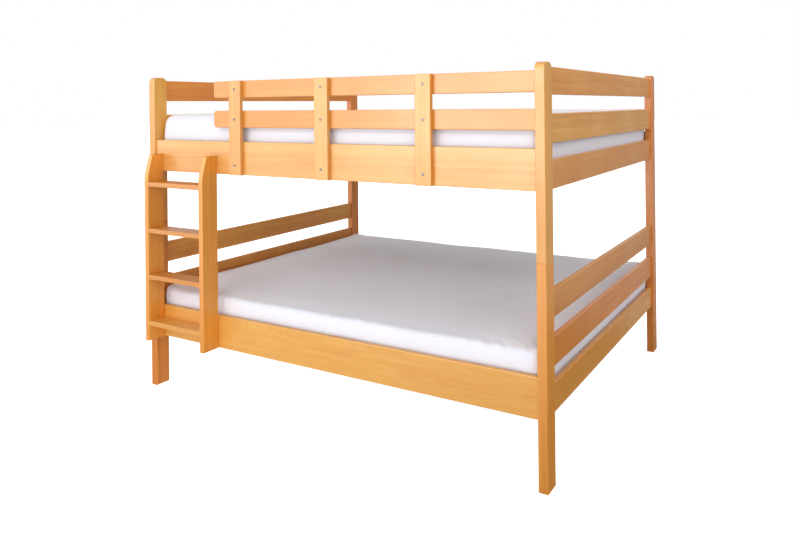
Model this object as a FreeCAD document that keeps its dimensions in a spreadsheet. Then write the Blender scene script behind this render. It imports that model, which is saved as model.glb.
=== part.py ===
import FreeCAD, Part
import os
from types import SimpleNamespace

from FreeCAD import Placement, Rotation, Vector

# A bunk bed made of two equal double berths, one stacked on the other, with a ladder and a front guard.
# Millimetres, +Z up, +X towards the foot end. The ladder is at the front, towards -Y.
# The origin is on the floor, under the middle of the space that the bed takes up with its ladder.

# Driving dimensions. Heights named *_bottom or *_rise without a berth are the same in both berths.
SIZES = {
    # mattresses, and the room around them
    "mattress_length": 2000.0,
    "mattress_width": 1600.0,
    "lower_mattress_thickness": 160.0,
    "upper_mattress_thickness": 200.0,
    "mattress_crown": 8.0,
    "mattress_corner": 60.0,
    "mattress_top_round": 45.0,
    "mattress_bottom_round": 22.0,
    "mattress_side_draw": 3.0,
    "mattress_lift_gap": 0.3,
    "end_play": 10.0,
    "side_play": 6.0,
    # posts
    "post_thickness": 38.0,
    "post_depth": 75.0,
    "lower_post_height": 812.0,
    "upper_post_height": 715.0,
    "post_groove": 2.0,
    "post_foot_chamfer": 2.5,
    "post_top_round": 26.0,
    "pin_radius": 6.0,
    "pin_length": 90.0,
    "pin_gap": 0.08,
    "pin_chamfer": 1.5,
    # end boards, three at each end of each berth
    "end_board_thickness": 20.0,
    "end_board_recess": 10.0,
    "bottom_board_bottom": 253.0,
    "bottom_board_height": 108.0,
    "middle_board_height": 108.0,
    "top_board_height": 102.0,
    "top_board_drop": 15.0,
    # side rails
    "rail_thickness": 22.0,
    "rail_height": 152.0,
    "rail_recess": 10.0,
    "rail_bottom": 253.0,
    # joints between boards and posts
    "tenon_thickness": 10.0,
    "tenon_length": 25.0,
    "tenon_shoulder": 10.0,
    "guard_tenon_length": 18.0,
    "joint_gap": 0.1,
    "stud_radius": 3.0,
    "stud_grip": 26.0,
    "stud_tail": 3.0,
    "stud_edge": 25.0,
    "pocket_radius": 12.0,
    "pocket_inset": 35.0,
    "pocket_floor": 5.0,
    "half_moon_thickness": 10.0,
    "nut_height": 5.0,
    "nut_corner_radius": 5.7,
    "bolt_gap": 0.2,
    # slats and what carries them
    "cleat_thickness": 30.0,
    "cleat_height": 45.0,
    "cleat_rise": 53.0,
    "cleat_end_gap": 8.0,
    "cleat_screw_margin": 150.0,
    "slat_width": 70.0,
    "slat_thickness": 18.0,
    "slat_end_gap": 2.0,
    "slat_start_gap": 12.0,
    "slat_round": 4.0,
    "tape_width": 30.0,
    "tape_thickness": 1.2,
    "tape_inset": 400.0,
    "beam_width": 70.0,
    "beam_height": 50.0,
    "bracket_plate": 2.0,
    "bracket_reach": 40.0,
    "bracket_ear": 20.0,
    # front and back guards of the upper berth
    "guard_thickness": 22.0,
    "guard_height": 78.0,
    "guard_end_round": 16.0,
    "top_guard_drop": 30.5,
    "entry_edge": 444.0,
    "batten_start": 560.0,
    "batten_pitch": 501.5,
    "batten_width": 72.0,
    "batten_thickness": 20.0,
    "batten_rail_bolt_rise": 45.0,
    "bolt_radius": 3.0,
    "bolt_head_radius": 6.5,
    "bolt_head_height": 2.2,
    "bolt_end_gap": 3.0,
    "socket_radius": 2.4,
    "socket_depth": 1.7,
    "sleeve_radius": 4.2,
    "sleeve_length": 15.0,
    # ladder
    "ladder_inset": 62.0,
    "ladder_width": 400.0,
    "stile_thickness": 26.0,
    "stile_depth": 90.0,
    "stile_lap": 86.0,
    "stile_nose_depth": 28.0,
    "stile_nose_height": 100.0,
    "stile_nose_round": 150.0,
    "stile_top_round": 9.0,
    "step_thickness": 22.0,
    "step_setback": 2.0,
    "step_back_gap": 1.0,
    "step_housing": 8.0,
    "step_housing_stop": 14.0,
    "first_step_height": 347.5,
    "top_step_drop": 47.0,
    # wood screws
    "screw_radius": 2.2,
    "screw_head_radius": 4.5,
    "screw_head_height": 2.4,
    "screw_tip": 5.0,
    "cleat_screw_length": 44.0,
    "bracket_screw_length": 14.0,
    "ladder_screw_length": 97.0,
    "ladder_screw_radius": 3.2,
    "ladder_screw_spread": 26.0,
    # finish of every edge, and how far a cut runs past the face that it opens
    "edge_round": 3.0,
    "fine_round": 1.0,
    "overrun": 5.0,
}
SLATS = 14
STEPS = 4
BATTENS = 3
CLEAT_SCREWS = 6
# How the free height above and below a middle board is shared: the share that lies below it.
END_BOARD_SHARE = 60 / 129
GUARD_SHARE = 64.5 / 123.5
BACK_GUARD_SHARE = 16 / 202
# A rounded edge of a mattress is drawn through these shares of its radius: how far in, and how far up.
ROUND_SHARES = ((1.0, 0.0), (0.617, 0.076), (0.293, 0.293), (0.076, 0.617), (0.0, 1.0))
# The crown of a mattress: how far in towards the middle, as a share of its half width, and how high.
CROWN_SHARES = ((0.2, 0.5), (0.42, 0.85), (0.7, 1.0))
# Two points nearer than this are the same point.
SAME_PLACE = 1e-3
LEFT, RIGHT = -1, 1
FRONT, BACK = -1, 1
SIDE_NAMES = {LEFT: "left", RIGHT: "right"}
FACE_NAMES = {FRONT: "front", BACK: "back"}
# Turns that carry the +Z axis of a rod or fastener onto the named direction.
TOWARDS = {
    "x": Rotation(Vector(0, 1, 0), 90),
    "-x": Rotation(Vector(0, 1, 0), -90),
    "y": Rotation(Vector(1, 0, 0), -90),
    "-y": Rotation(Vector(1, 0, 0), 90),
    "z": Rotation(),
}
HALF_TURN = Rotation(Vector(0, 0, 1), 180)


class Size:
    """A length that carries both its value and its formula in the names of the sheet."""

    def __init__(self, formula, value):
        self.formula = formula
        self.value = value

    @staticmethod
    def of(other):
        return other if isinstance(other, Size) else Size(str(other), float(other))

    def __add__(self, other):
        other = Size.of(other)
        return Size(f"({self.formula} + {other.formula})", self.value + other.value)

    def __sub__(self, other):
        other = Size.of(other)
        return Size(f"({self.formula} - {other.formula})", self.value - other.value)

    def __mul__(self, factor):
        return Size(f"({self.formula} * {factor})", self.value * factor)

    def __truediv__(self, factor):
        return Size(f"({self.formula} / {factor})", self.value / factor)

    def __neg__(self):
        return Size(f"(0 - {self.formula})", -self.value)

    __rmul__ = __mul__


def make_sheet():
    """Writes the driving dimensions into the sheet and returns them as sizes under their own names."""
    sheet = doc.addObject("Spreadsheet::Sheet", "Sizes")
    for row, (name, value) in enumerate(SIZES.items(), start=1):
        sheet.set(f"A{row}", name)
        sheet.set(f"B{row}", str(value))
        sheet.setAlias(f"B{row}", name)
    doc.recompute()
    return SimpleNamespace(**{name: Size(f"Sizes.{name}", sheet.get(name)) for name in SIZES})


def bind(item, **formulas):
    """Ties properties of an object to formulas of the sheet."""
    for name, size in formulas.items():
        item.setExpression(name, Size.of(size).formula)


def bind_place(item, corner):
    """Ties the place of an object to the formulas of its corner or centre."""
    for axis, size in zip("xyz", corner):
        item.setExpression(f"Placement.Base.{axis}", Size.of(size).formula)


def new_body(label, corner=(0, 0, 0)):
    """Starts a piece whose own frame stands at the given corner."""
    body = doc.addObject("PartDesign::Body", label)
    body.Label = label
    bind_place(body, corner)
    return body


def box(body, corner, spans, cut=False):
    """Adds a box to a piece, or cuts one out of it."""
    kind = "Subtractive" if cut else "Additive"
    item = body.newObject(f"PartDesign::{kind}Box", f"{body.Label}_{kind}Box")
    bind(item, Length=spans[0], Width=spans[1], Height=spans[2])
    bind_place(item, corner)
    return item


def rod(body, start, direction, radius, length, cut=False):
    """Adds a round rod to a piece, or bores a round hole in it, from its start along a direction."""
    kind = "Subtractive" if cut else "Additive"
    item = body.newObject(f"PartDesign::{kind}Cylinder", f"{body.Label}_{kind}Rod")
    bind(item, Radius=radius, Height=length)
    item.Placement = Placement(Vector(), TOWARDS[direction])
    bind_place(item, start)
    return item


def pick(feature, wanted):
    """The names of the edges whose bounding box passes a test."""
    doc.recompute()
    return [f"Edge{n}" for n, edge in enumerate(feature.Shape.Edges, start=1) if wanted(edge.BoundBox)]


def along(axis):
    """A test for straight edges that run along one axis."""
    across = [f"{other}Length" for other in "XYZ" if other != axis]
    return lambda bounds: all(getattr(bounds, name) < SAME_PLACE for name in across)


def in_plane(axis, place):
    """A test for edges that lie in the plane where one coordinate has the given value."""
    def test(bounds):
        low = getattr(bounds, f"{axis}Min")
        high = getattr(bounds, f"{axis}Max")
        return abs(low - place) < SAME_PLACE and abs(high - place) < SAME_PLACE
    return test


def above_foot(bounds):
    """A test for edges that don't lie in the piece's bottom face."""
    return bounds.ZMax > SAME_PLACE


def before(place):
    """A test for edges that start before a place along +X."""
    return lambda bounds: bounds.XMin < place - SAME_PLACE


def both(first, second):
    """A test that passes where two tests do."""
    return lambda bounds: first(bounds) and second(bounds)


def either(first, second):
    """A test that passes where one of two tests does."""
    return lambda bounds: first(bounds) or second(bounds)


def rounded(body, feature, wanted, radius):
    """Rounds the picked edges of a feature."""
    names = pick(feature, wanted)
    item = body.newObject("PartDesign::Fillet", f"{body.Label}_Fillet")
    item.Base = (feature, names)
    bind(item, Radius=radius)
    return item


def chamfered(body, feature, wanted, size):
    """Chamfers the picked edges of a feature."""
    names = pick(feature, wanted)
    item = body.newObject("PartDesign::Chamfer", f"{body.Label}_Chamfer")
    item.Base = (feature, names)
    bind(item, Size=size)
    return item


def plank(label, corner, spans, grain):
    """A board whose four long edges are eased."""
    body = new_body(label, corner)
    blank = box(body, (0, 0, 0), spans)
    rounded(body, blank, along(grain), s.edge_round)
    return body


def from_side(side, total, gap, width=0):
    """Where something of a given width starts, when it lies a gap in from the outer face on one side."""
    return Size.of(gap) if side < 0 else Size.of(total) - gap - width


def keep(piece):
    """Lists a piece among those that are written out."""
    pieces.append(piece)
    return piece


def copies(label, placed):
    """One node of separate solids: each a copy of a pattern piece, at its own place and turn."""
    doc.recompute()
    solids = []
    for pattern, place, turn in placed:
        solid = pattern.Shape.copy()
        solid.Placement = Placement(Vector(*[Size.of(size).value for size in place]), turn)
        solids.append(solid)
    item = doc.addObject("Part::Feature", label)
    item.Label = label
    item.Shape = Part.makeCompound(solids)
    return keep(item)


class Berth:
    """One of the two equal beds: its name, the height of its feet, its post height and its mattress."""

    def __init__(self, name, foot, post_height, mattress_thickness):
        self.name = name
        self.foot = Size.of(foot)
        self.post_height = post_height
        self.mattress_thickness = mattress_thickness

    def label(self, *words):
        return "_".join([self.name, *words])


def middle_bottom(low, high, height, share):
    """The bottom edge of a middle board that shares the free height between two others."""
    return low + (high - low - height) * share


def end_board_rows():
    """The three end boards of either berth, from the lowest: name, bottom edge and height."""
    low = s.bottom_board_bottom + s.bottom_board_height
    high = s.upper_post_height - s.top_board_drop - s.top_board_height
    return (
        ("bottom", s.bottom_board_bottom, s.bottom_board_height),
        ("middle", middle_bottom(low, high, s.middle_board_height, END_BOARD_SHARE), s.middle_board_height),
        ("top", high, s.top_board_height),
    )


def guard_rows():
    """The two front guard boards: name and bottom edge, above the upper berth's feet."""
    low = s.rail_bottom + s.rail_height
    high = s.upper_post_height - s.top_guard_drop - s.guard_height
    return (("middle", middle_bottom(low, high, s.guard_height, GUARD_SHARE)), ("top", high))


def back_guard_row():
    """The back guard board: its bottom edge, a little above the side rail, and its height."""
    low = s.rail_bottom + s.rail_height
    height = s.middle_board_height
    return (middle_bottom(low, s.upper_post_height, height, BACK_GUARD_SHARE), height)


def stud_rises():
    """How far above a side rail's bottom edge its studs lie: just over the slats, and near the top edge."""
    over_slats = s.cleat_rise + s.slat_thickness + s.pocket_radius + s.fine_round
    return (over_slats, s.rail_height - s.stud_edge)


def batten_centres():
    """The middle line of each batten, from the bed's left end."""
    first = s.batten_start + s.batten_width / 2
    return [first + s.batten_pitch * n for n in range(BATTENS)]


def stile_centres():
    """The middle line of each ladder stile, from the bed's left end."""
    first = s.ladder_inset + s.stile_thickness / 2
    return [first, first + s.ladder_width - s.stile_thickness]


def cleat_screw_centres():
    """The places of the cleat screws, from the bed's left end."""
    first = s.post_thickness + s.cleat_end_gap + s.cleat_screw_margin
    step = (bed_length - first * 2) / (CLEAT_SCREWS - 1)
    return [first + step * n for n in range(CLEAT_SCREWS)]


def cleat_middle_rise():
    """The height of a cleat's middle above the rail's bottom edge."""
    return s.cleat_rise - s.cleat_height / 2


def ladder_screw_rises():
    """The heights of the two ladder screws of each stile above the rail's bottom edge."""
    return [cleat_middle_rise() + s.ladder_screw_spread * share for share in (-0.5, 0.5)]


def post(berth, x_side, y_side):
    """Half a post, with its mortises, stud holes and pin hole."""
    label = berth.label("post", FACE_NAMES[y_side], SIDE_NAMES[x_side])
    corner = (
        left + from_side(x_side, bed_length, 0, s.post_thickness),
        front + from_side(y_side, bed_width, 0, s.post_depth),
        berth.foot,
    )
    body = new_body(label, corner)
    shape = box(body, (0, 0, 0), (s.post_thickness, s.post_depth, berth.post_height))
    sides = either(in_plane("X", 0.0), in_plane("X", s.post_thickness.value))
    top = in_plane("Z", berth.post_height.value)
    if berth is upper:
        shape = rounded(body, shape, both(along("X"), top), s.post_top_round)
        shape = rounded(body, shape, both(sides, above_foot), s.edge_round)
        shape = chamfered(body, shape, in_plane("Z", 0.0), s.post_groove)
    else:
        shape = rounded(body, shape, along("Z"), s.edge_round)
        shape = chamfered(body, shape, top, s.post_groove)
        shape = chamfered(body, shape, in_plane("Z", 0.0), s.post_foot_chamfer)
    # mortises for the three end boards, open towards the middle of the bed's end
    width = s.tenon_thickness + s.joint_gap * 2
    inset = s.end_board_recess + (s.end_board_thickness - s.tenon_thickness) / 2 - s.joint_gap
    depth = s.tenon_length + s.joint_gap
    for _, bottom, height in end_board_rows():
        start = (
            from_side(x_side, s.post_thickness, inset, width),
            from_side(y_side, s.post_depth, s.post_depth - depth, depth + s.overrun),
            bottom + s.tenon_shoulder - s.joint_gap,
        )
        box(body, start, (width, depth + s.overrun, mortise_height(height)), cut=True)
    # mortises for the guard boards, open towards the middle of the bed's side
    guards = []
    if berth is upper and y_side == BACK:
        guards = [back_guard_row()]
    elif berth is upper and x_side == RIGHT:
        guards = [(bottom, s.guard_height) for _, bottom in guard_rows()]
    inset = s.rail_recess + (s.guard_thickness - s.tenon_thickness) / 2 - s.joint_gap
    depth = s.guard_tenon_length + s.joint_gap
    for bottom, height in guards:
        start = (
            from_side(x_side, s.post_thickness, s.post_thickness - depth, depth + s.overrun),
            from_side(y_side, s.post_depth, inset, width),
            bottom + s.tenon_shoulder - s.joint_gap,
        )
        box(body, start, (depth + s.overrun, width, mortise_height(height)), cut=True)
    # threaded holes for the rail studs
    for rise in stud_rises():
        grip = s.stud_grip + s.bolt_gap
        start = (
            from_side(x_side, s.post_thickness, s.post_thickness - grip, grip + s.overrun),
            from_side(y_side, s.post_depth, s.rail_recess + s.rail_thickness / 2),
            s.rail_bottom + rise,
        )
        rod(body, start, "x", s.stud_radius + s.joint_gap, grip + s.overrun, cut=True)
    # hole for the pin that joins the two halves
    depth = s.pin_length / 2 + s.bolt_gap
    low = -s.overrun if berth is upper else berth.post_height - depth
    start = (s.post_thickness / 2, s.post_depth / 2, low)
    rod(body, start, "z", s.pin_radius + s.pin_gap, depth + s.overrun, cut=True)
    return keep(body)


def mortise_height(board_height):
    """The height of the mortise for a board's tenon, which has a shoulder at its top and bottom."""
    return board_height - (s.tenon_shoulder - s.joint_gap) * 2


def end_board(berth, x_side, name, bottom, height):
    """A board across one end of a berth, with a tenon at each end."""
    corner = (
        left + from_side(x_side, bed_length, s.end_board_recess, s.end_board_thickness),
        front + s.post_depth,
        berth.foot + bottom,
    )
    span = bed_width - s.post_depth * 2
    label = berth.label(SIDE_NAMES[x_side], "end_board", name)
    body = plank(label, corner, (s.end_board_thickness, span, height), "Y")
    start = ((s.end_board_thickness - s.tenon_thickness) / 2, -s.tenon_length, s.tenon_shoulder)
    box(body, start, (s.tenon_thickness, span + s.tenon_length * 2, height - s.tenon_shoulder * 2))
    if name == "bottom":
        depth = s.bracket_screw_length - s.bracket_plate + s.bolt_gap
        for offset in bracket_screw_offsets():
            start = (
                from_side(x_side, s.end_board_thickness, s.end_board_thickness - depth, depth + s.overrun),
                span / 2 + offset,
                s.rail_bottom + s.cleat_rise - s.beam_height / 2 - bottom,
            )
            rod(body, start, "x", s.screw_radius + s.joint_gap, depth + s.overrun, cut=True)
    return keep(body)


def bracket_screw_offsets():
    """How far each bracket screw lies from the middle of the beam, across it."""
    reach = s.beam_width / 2 + s.bracket_plate + s.bracket_ear / 2
    return (-reach, reach)


def side_rail(berth, y_side):
    """A side rail, with its stud holes and nut pockets and the holes for what is fixed to it."""
    span = bed_length - s.post_thickness * 2
    corner = (
        left + s.post_thickness,
        front + from_side(y_side, bed_width, s.rail_recess, s.rail_thickness),
        berth.foot + s.rail_bottom,
    )
    label = berth.label("side_rail", FACE_NAMES[y_side])
    body = plank(label, corner, (span, s.rail_thickness, s.rail_height), "X")
    pocket_depth = s.rail_thickness - s.pocket_floor
    inner_cut = from_side(y_side, s.rail_thickness, s.rail_thickness - pocket_depth, pocket_depth + s.overrun)
    for rise in stud_rises():
        for centre in (s.pocket_inset, span - s.pocket_inset):
            rod(body, (centre, inner_cut, rise), "y", s.pocket_radius, pocket_depth + s.overrun, cut=True)
        for start in (-s.overrun, span - s.pocket_inset):
            hole = s.pocket_inset + s.overrun
            rod(body, (start, s.rail_thickness / 2, rise), "x", s.stud_radius + s.bolt_gap, hole, cut=True)
    depth = s.cleat_screw_length - s.cleat_thickness + s.bolt_gap
    inner_cut = from_side(y_side, s.rail_thickness, s.rail_thickness - depth, depth + s.overrun)
    for centre in cleat_screw_centres():
        start = (centre - s.post_thickness, inner_cut, cleat_middle_rise())
        rod(body, start, "y", s.screw_radius + s.joint_gap, depth + s.overrun, cut=True)
    if berth is upper and y_side == FRONT:
        through_holes(body, s.post_thickness, 0, s.rail_thickness)
    return keep(body)


def through_holes(body, start_from_left, bottom_above_rail, thickness):
    """Bores the holes of the batten bolts and ladder screws through the upper front rail or its cleat."""
    through = thickness + s.overrun * 2
    for centre in batten_centres():
        start = (centre - start_from_left, -s.overrun, s.batten_rail_bolt_rise - bottom_above_rail)
        rod(body, start, "y", s.sleeve_radius + s.bolt_gap, through, cut=True)
    for centre in stile_centres():
        for rise in ladder_screw_rises():
            start = (centre - start_from_left, -s.overrun, rise - bottom_above_rail)
            rod(body, start, "y", s.ladder_screw_radius + s.joint_gap, through, cut=True)


def cleat(berth, y_side):
    """The square batten along the inside of a side rail that the slats lie on."""
    inset = s.rail_recess + s.rail_thickness
    bottom = s.cleat_rise - s.cleat_height
    start_from_left = s.post_thickness + s.cleat_end_gap
    span = bed_length - start_from_left * 2
    corner = (
        left + start_from_left,
        front + from_side(y_side, bed_width, inset, s.cleat_thickness),
        berth.foot + s.rail_bottom + bottom,
    )
    label = berth.label("cleat", FACE_NAMES[y_side])
    body = plank(label, corner, (span, s.cleat_thickness, s.cleat_height), "X")
    for centre in cleat_screw_centres():
        start = (centre - start_from_left, -s.overrun, s.cleat_height / 2)
        rod(body, start, "y", s.screw_radius + s.joint_gap, s.cleat_thickness + s.overrun * 2, cut=True)
    if berth is upper and y_side == FRONT:
        through_holes(body, start_from_left, bottom, s.cleat_thickness)
    return keep(body)


def slat_pattern():
    """One slat at the origin, its four long edges rounded."""
    span = bed_width - (s.rail_recess + s.rail_thickness + s.slat_end_gap) * 2
    body = new_body("slat_pattern")
    blank = box(body, (0, 0, 0), (s.slat_width, span, s.slat_thickness))
    rounded(body, blank, along("Y"), s.slat_round)
    return body


def slats(berth, pattern):
    """The slats of a berth, evenly spaced between the posts of its two ends."""
    first = s.post_thickness + s.slat_start_gap
    pitch = (bed_length - first * 2 - s.slat_width) / (SLATS - 1)
    side = front + s.rail_recess + s.rail_thickness + s.slat_end_gap
    height = berth.foot + s.rail_bottom + s.cleat_rise
    placed = [(pattern, (left + first + pitch * n, side, height), TOWARDS["z"]) for n in range(SLATS)]
    copies(berth.label("slats"), placed)


def tapes(berth, pattern):
    """The two webbing tapes that hold the slats at their spacing."""
    start = left + s.post_thickness + s.slat_start_gap
    height = berth.foot + s.rail_bottom + s.cleat_rise + s.slat_thickness
    sides = (front + s.tape_inset, back - s.tape_inset - s.tape_width)
    placed = [(pattern, (start, side, height), TOWARDS["z"]) for side in sides]
    copies(berth.label("slat_tapes"), placed)


def tape_pattern():
    """One webbing tape at the origin."""
    span = bed_length - (s.post_thickness + s.slat_start_gap) * 2
    body = new_body("tape_pattern")
    box(body, (0, 0, 0), (span, s.tape_width, s.tape_thickness))
    return body


def centre_beam(berth):
    """The beam under the middle of the slats, between the brackets on the two bottom end boards."""
    inset = s.end_board_recess + s.end_board_thickness + s.bracket_plate
    height = berth.foot + s.rail_bottom + s.cleat_rise - s.beam_height
    corner = (left + inset, middle - s.beam_width / 2, height)
    spans = (bed_length - inset * 2, s.beam_width, s.beam_height)
    keep(plank(berth.label("centre_beam"), corner, spans, "X"))


def bracket_pattern():
    """A bent steel hanger for one end of the beam: back plate with two ears, seat and two cheeks."""
    body = new_body("bracket_pattern")
    plate = s.bracket_plate
    inside = s.beam_width + s.joint_gap * 2
    wide = inside + (plate + s.bracket_ear) * 2
    tall = s.beam_height + plate
    box(body, (0, -wide / 2, -plate), (plate, wide, tall))
    box(body, (0, -inside / 2 - plate, -plate), (s.bracket_reach, inside + plate * 2, plate))
    for side in (-inside / 2 - plate, inside / 2):
        box(body, (0, side, -plate), (s.bracket_reach, plate, tall))
    for offset in bracket_screw_offsets():
        start = (-s.overrun, offset, s.beam_height / 2)
        rod(body, start, "x", s.screw_radius + s.joint_gap, plate + s.overrun * 2, cut=True)
    return body


def bracket_faces():
    """For each end: the inner face of the bottom end board, a hanger's turn there and the way outwards."""
    inset = s.end_board_recess + s.end_board_thickness
    return ((left + inset, TOWARDS["z"], "-x"), (right - inset, HALF_TURN, "x"))


def beam_brackets(berth, pattern):
    """The two hangers of a berth's beam."""
    height = berth.foot + s.rail_bottom + s.cleat_rise - s.beam_height
    placed = [(pattern, (face, middle, height), turn) for face, turn, _ in bracket_faces()]
    copies(berth.label("beam_brackets"), placed)


def mattress(berth):
    """A mattress with rounded edges, sides drawn in a little and a crowned top."""
    thickness = berth.mattress_thickness.value
    half_length = s.mattress_length.value / 2
    half_width = s.mattress_width.value / 2
    low = s.mattress_bottom_round.value
    high = s.mattress_top_round.value
    outline = [(low * inward, low * upward) for inward, upward in ROUND_SHARES]
    outline.append((s.mattress_side_draw.value, (low + thickness - high) / 2))
    outline += [(high * inward, thickness - high * upward) for inward, upward in reversed(ROUND_SHARES)]
    crown_start = half_width - high
    for inward, upward in CROWN_SHARES:
        outline.append((high + crown_start * inward, thickness + s.mattress_crown.value * upward))
    corner = s.mattress_corner.value
    wires = []
    for inset, height in outline:
        wires.append(rounded_rectangle(half_length - inset, half_width - inset, corner, height))
    item = doc.addObject("Part::Feature", berth.label("mattress"))
    item.Label = berth.label("mattress")
    item.Shape = Part.makeLoft(wires, True, True)
    support = berth.foot + s.rail_bottom + s.cleat_rise + s.slat_thickness + s.tape_thickness
    bottom = support + s.mattress_lift_gap
    item.Placement = Placement(Vector(0, middle.value, bottom.value), Rotation())
    return keep(item)


def rounded_rectangle(half_length, half_width, corner, height):
    """A closed wire of four lines and four quarter arcs in a level plane."""
    share = 0.5 ** 0.5
    edges = []
    turns = ((1, 1), (-1, 1), (-1, -1), (1, -1))
    ends = []
    for sign_x, sign_y in turns:
        centre = Vector(sign_x * (half_length - corner), sign_y * (half_width - corner), height)
        on_side = centre + Vector(sign_x * corner, 0, 0)
        on_end = centre + Vector(0, sign_y * corner, 0)
        between = centre + Vector(sign_x * corner * share, sign_y * corner * share, 0)
        first, last = (on_side, on_end) if sign_x * sign_y > 0 else (on_end, on_side)
        ends.append((first, between, last))
    for here, following in zip(ends, ends[1:] + ends[:1]):
        edges.append(Part.Arc(*here).toShape())
        edges.append(Part.LineSegment(here[2], following[0]).toShape())
    return Part.Wire(edges)


def guard_board(name, bottom):
    """A front guard board: rounded at the ladder, tenoned into the post at the other end."""
    corner = (left + s.entry_edge, front + s.rail_recess, upper.foot + bottom)
    span = bed_length - s.entry_edge - s.post_thickness
    body = new_body(upper.label("guard_board", name), corner)
    shape = box(body, (0, 0, 0), (span, s.guard_thickness, s.guard_height))
    shape = rounded(body, shape, both(along("Y"), in_plane("X", 0.0)), s.guard_end_round)
    faces = either(in_plane("Y", 0.0), in_plane("Y", s.guard_thickness.value))
    shape = rounded(body, shape, both(faces, before(span.value)), s.edge_round)
    start = (span - s.guard_tenon_length, (s.guard_thickness - s.tenon_thickness) / 2, s.tenon_shoulder)
    box(body, start, (s.guard_tenon_length * 2, s.tenon_thickness, s.guard_height - s.tenon_shoulder * 2))
    for centre in batten_centres():
        start = (centre - s.entry_edge, -s.overrun, s.guard_height / 2)
        rod(body, start, "y", s.sleeve_radius + s.bolt_gap, s.guard_thickness + s.overrun * 2, cut=True)
    return keep(body)


def back_guard_board():
    """The board along the back, level with the middle end boards, tenoned into both posts."""
    bottom, height = back_guard_row()
    span = bed_length - s.post_thickness * 2
    corner = (left + s.post_thickness, back - s.rail_recess - s.guard_thickness, upper.foot + bottom)
    body = plank(upper.label("back_guard_board"), corner, (span, s.guard_thickness, height), "X")
    start = (-s.guard_tenon_length, (s.guard_thickness - s.tenon_thickness) / 2, s.tenon_shoulder)
    box(body, start, (span + s.guard_tenon_length * 2, s.tenon_thickness, height - s.tenon_shoulder * 2))
    return keep(body)


def batten_bolt_heights():
    """The heights of a batten's bolts above the upper berth's feet: one in the rail, one in each guard."""
    in_guards = [bottom + s.guard_height / 2 for _, bottom in guard_rows()]
    return [s.rail_bottom + s.batten_rail_bolt_rise, *in_guards]


def batten(number, name):
    """An upright in front of the guard boards and the rail, bolted through each of them."""
    corner = (
        left + s.batten_start + s.batten_pitch * number,
        front + s.rail_recess - s.batten_thickness,
        upper.foot + s.rail_bottom,
    )
    height = s.upper_post_height - s.top_guard_drop - s.rail_bottom
    body = new_body(upper.label("guard_batten", name), corner)
    shape = box(body, (0, 0, 0), (s.batten_width, s.batten_thickness, height))
    shape = rounded(body, shape, either(along("Z"), in_plane("Y", 0.0)), s.edge_round)
    for rise in batten_bolt_heights():
        start = (s.batten_width / 2, -s.overrun, rise - s.rail_bottom)
        rod(body, start, "y", s.bolt_radius + s.bolt_gap, s.batten_thickness + s.overrun * 2, cut=True)
    return keep(body)


def button(body, radius, height):
    """The low round head of a bolt, screw or nut, below zero, its outer edge rounded."""
    head = rod(body, (0, 0, -height), "z", radius, height)
    rounded(body, head, in_plane("Z", -height.value), s.fine_round)


def fastener(label, head, shank_radius, shank_length, tip=None):
    """A bolt or screw along +Z: its head below zero with a hexagonal socket, its shank above."""
    head_radius, head_height = head
    body = new_body(label)
    button(body, head_radius, head_height)
    rod(body, (0, 0, 0), "z", shank_radius, shank_length - tip if tip else shank_length)
    if tip:
        point = body.newObject("PartDesign::AdditiveCone", f"{label}_Tip")
        bind(point, Radius1=shank_radius, Radius2=shank_radius / 4, Height=tip)
        bind_place(point, (0, 0, shank_length - tip))
    socket = body.newObject("PartDesign::SubtractivePrism", f"{label}_Socket")
    socket.Polygon = 6
    bind(socket, Circumradius=s.socket_radius, Height=s.socket_depth + s.overrun)
    bind_place(socket, (0, 0, -head_height - s.overrun))
    return body


def batten_bolts():
    """The bolts of the battens: short ones through the guard boards, longer ones through rail and cleat."""
    outer = front + s.rail_recess - s.batten_thickness
    behind_guard = s.batten_thickness + s.guard_thickness
    behind_cleat = s.batten_thickness + s.rail_thickness + s.cleat_thickness
    head = (s.bolt_head_radius, s.bolt_head_height)
    long_bolt = fastener("long_bolt", head, s.bolt_radius, behind_cleat - s.bolt_end_gap)
    short_bolt = fastener("short_bolt", head, s.bolt_radius, behind_guard - s.bolt_end_gap)
    nut = cap_nut_pattern()
    bolts = []
    nuts = []
    for centre in batten_centres():
        for number, rise in enumerate(batten_bolt_heights()):
            pattern, grip = (short_bolt, behind_guard) if number else (long_bolt, behind_cleat)
            place = (left + centre, outer, upper.foot + rise)
            bolts.append((pattern, place, TOWARDS["y"]))
            nuts.append((nut, (place[0], outer + grip, place[2]), TOWARDS["-y"]))
    copies(upper.label("batten_bolts"), bolts)
    copies(upper.label("batten_cap_nuts"), nuts)


def cap_nut_pattern():
    """A cap nut along +Z: a low round head below zero and a sleeve that the bolt screws into."""
    body = new_body("cap_nut")
    button(body, s.bolt_head_radius, s.bolt_head_height)
    rod(body, (0, 0, 0), "z", s.sleeve_radius, s.sleeve_length)
    rod(body, (0, 0, 0), "z", s.bolt_radius + s.joint_gap, s.sleeve_length + s.overrun, cut=True)
    return body


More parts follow.
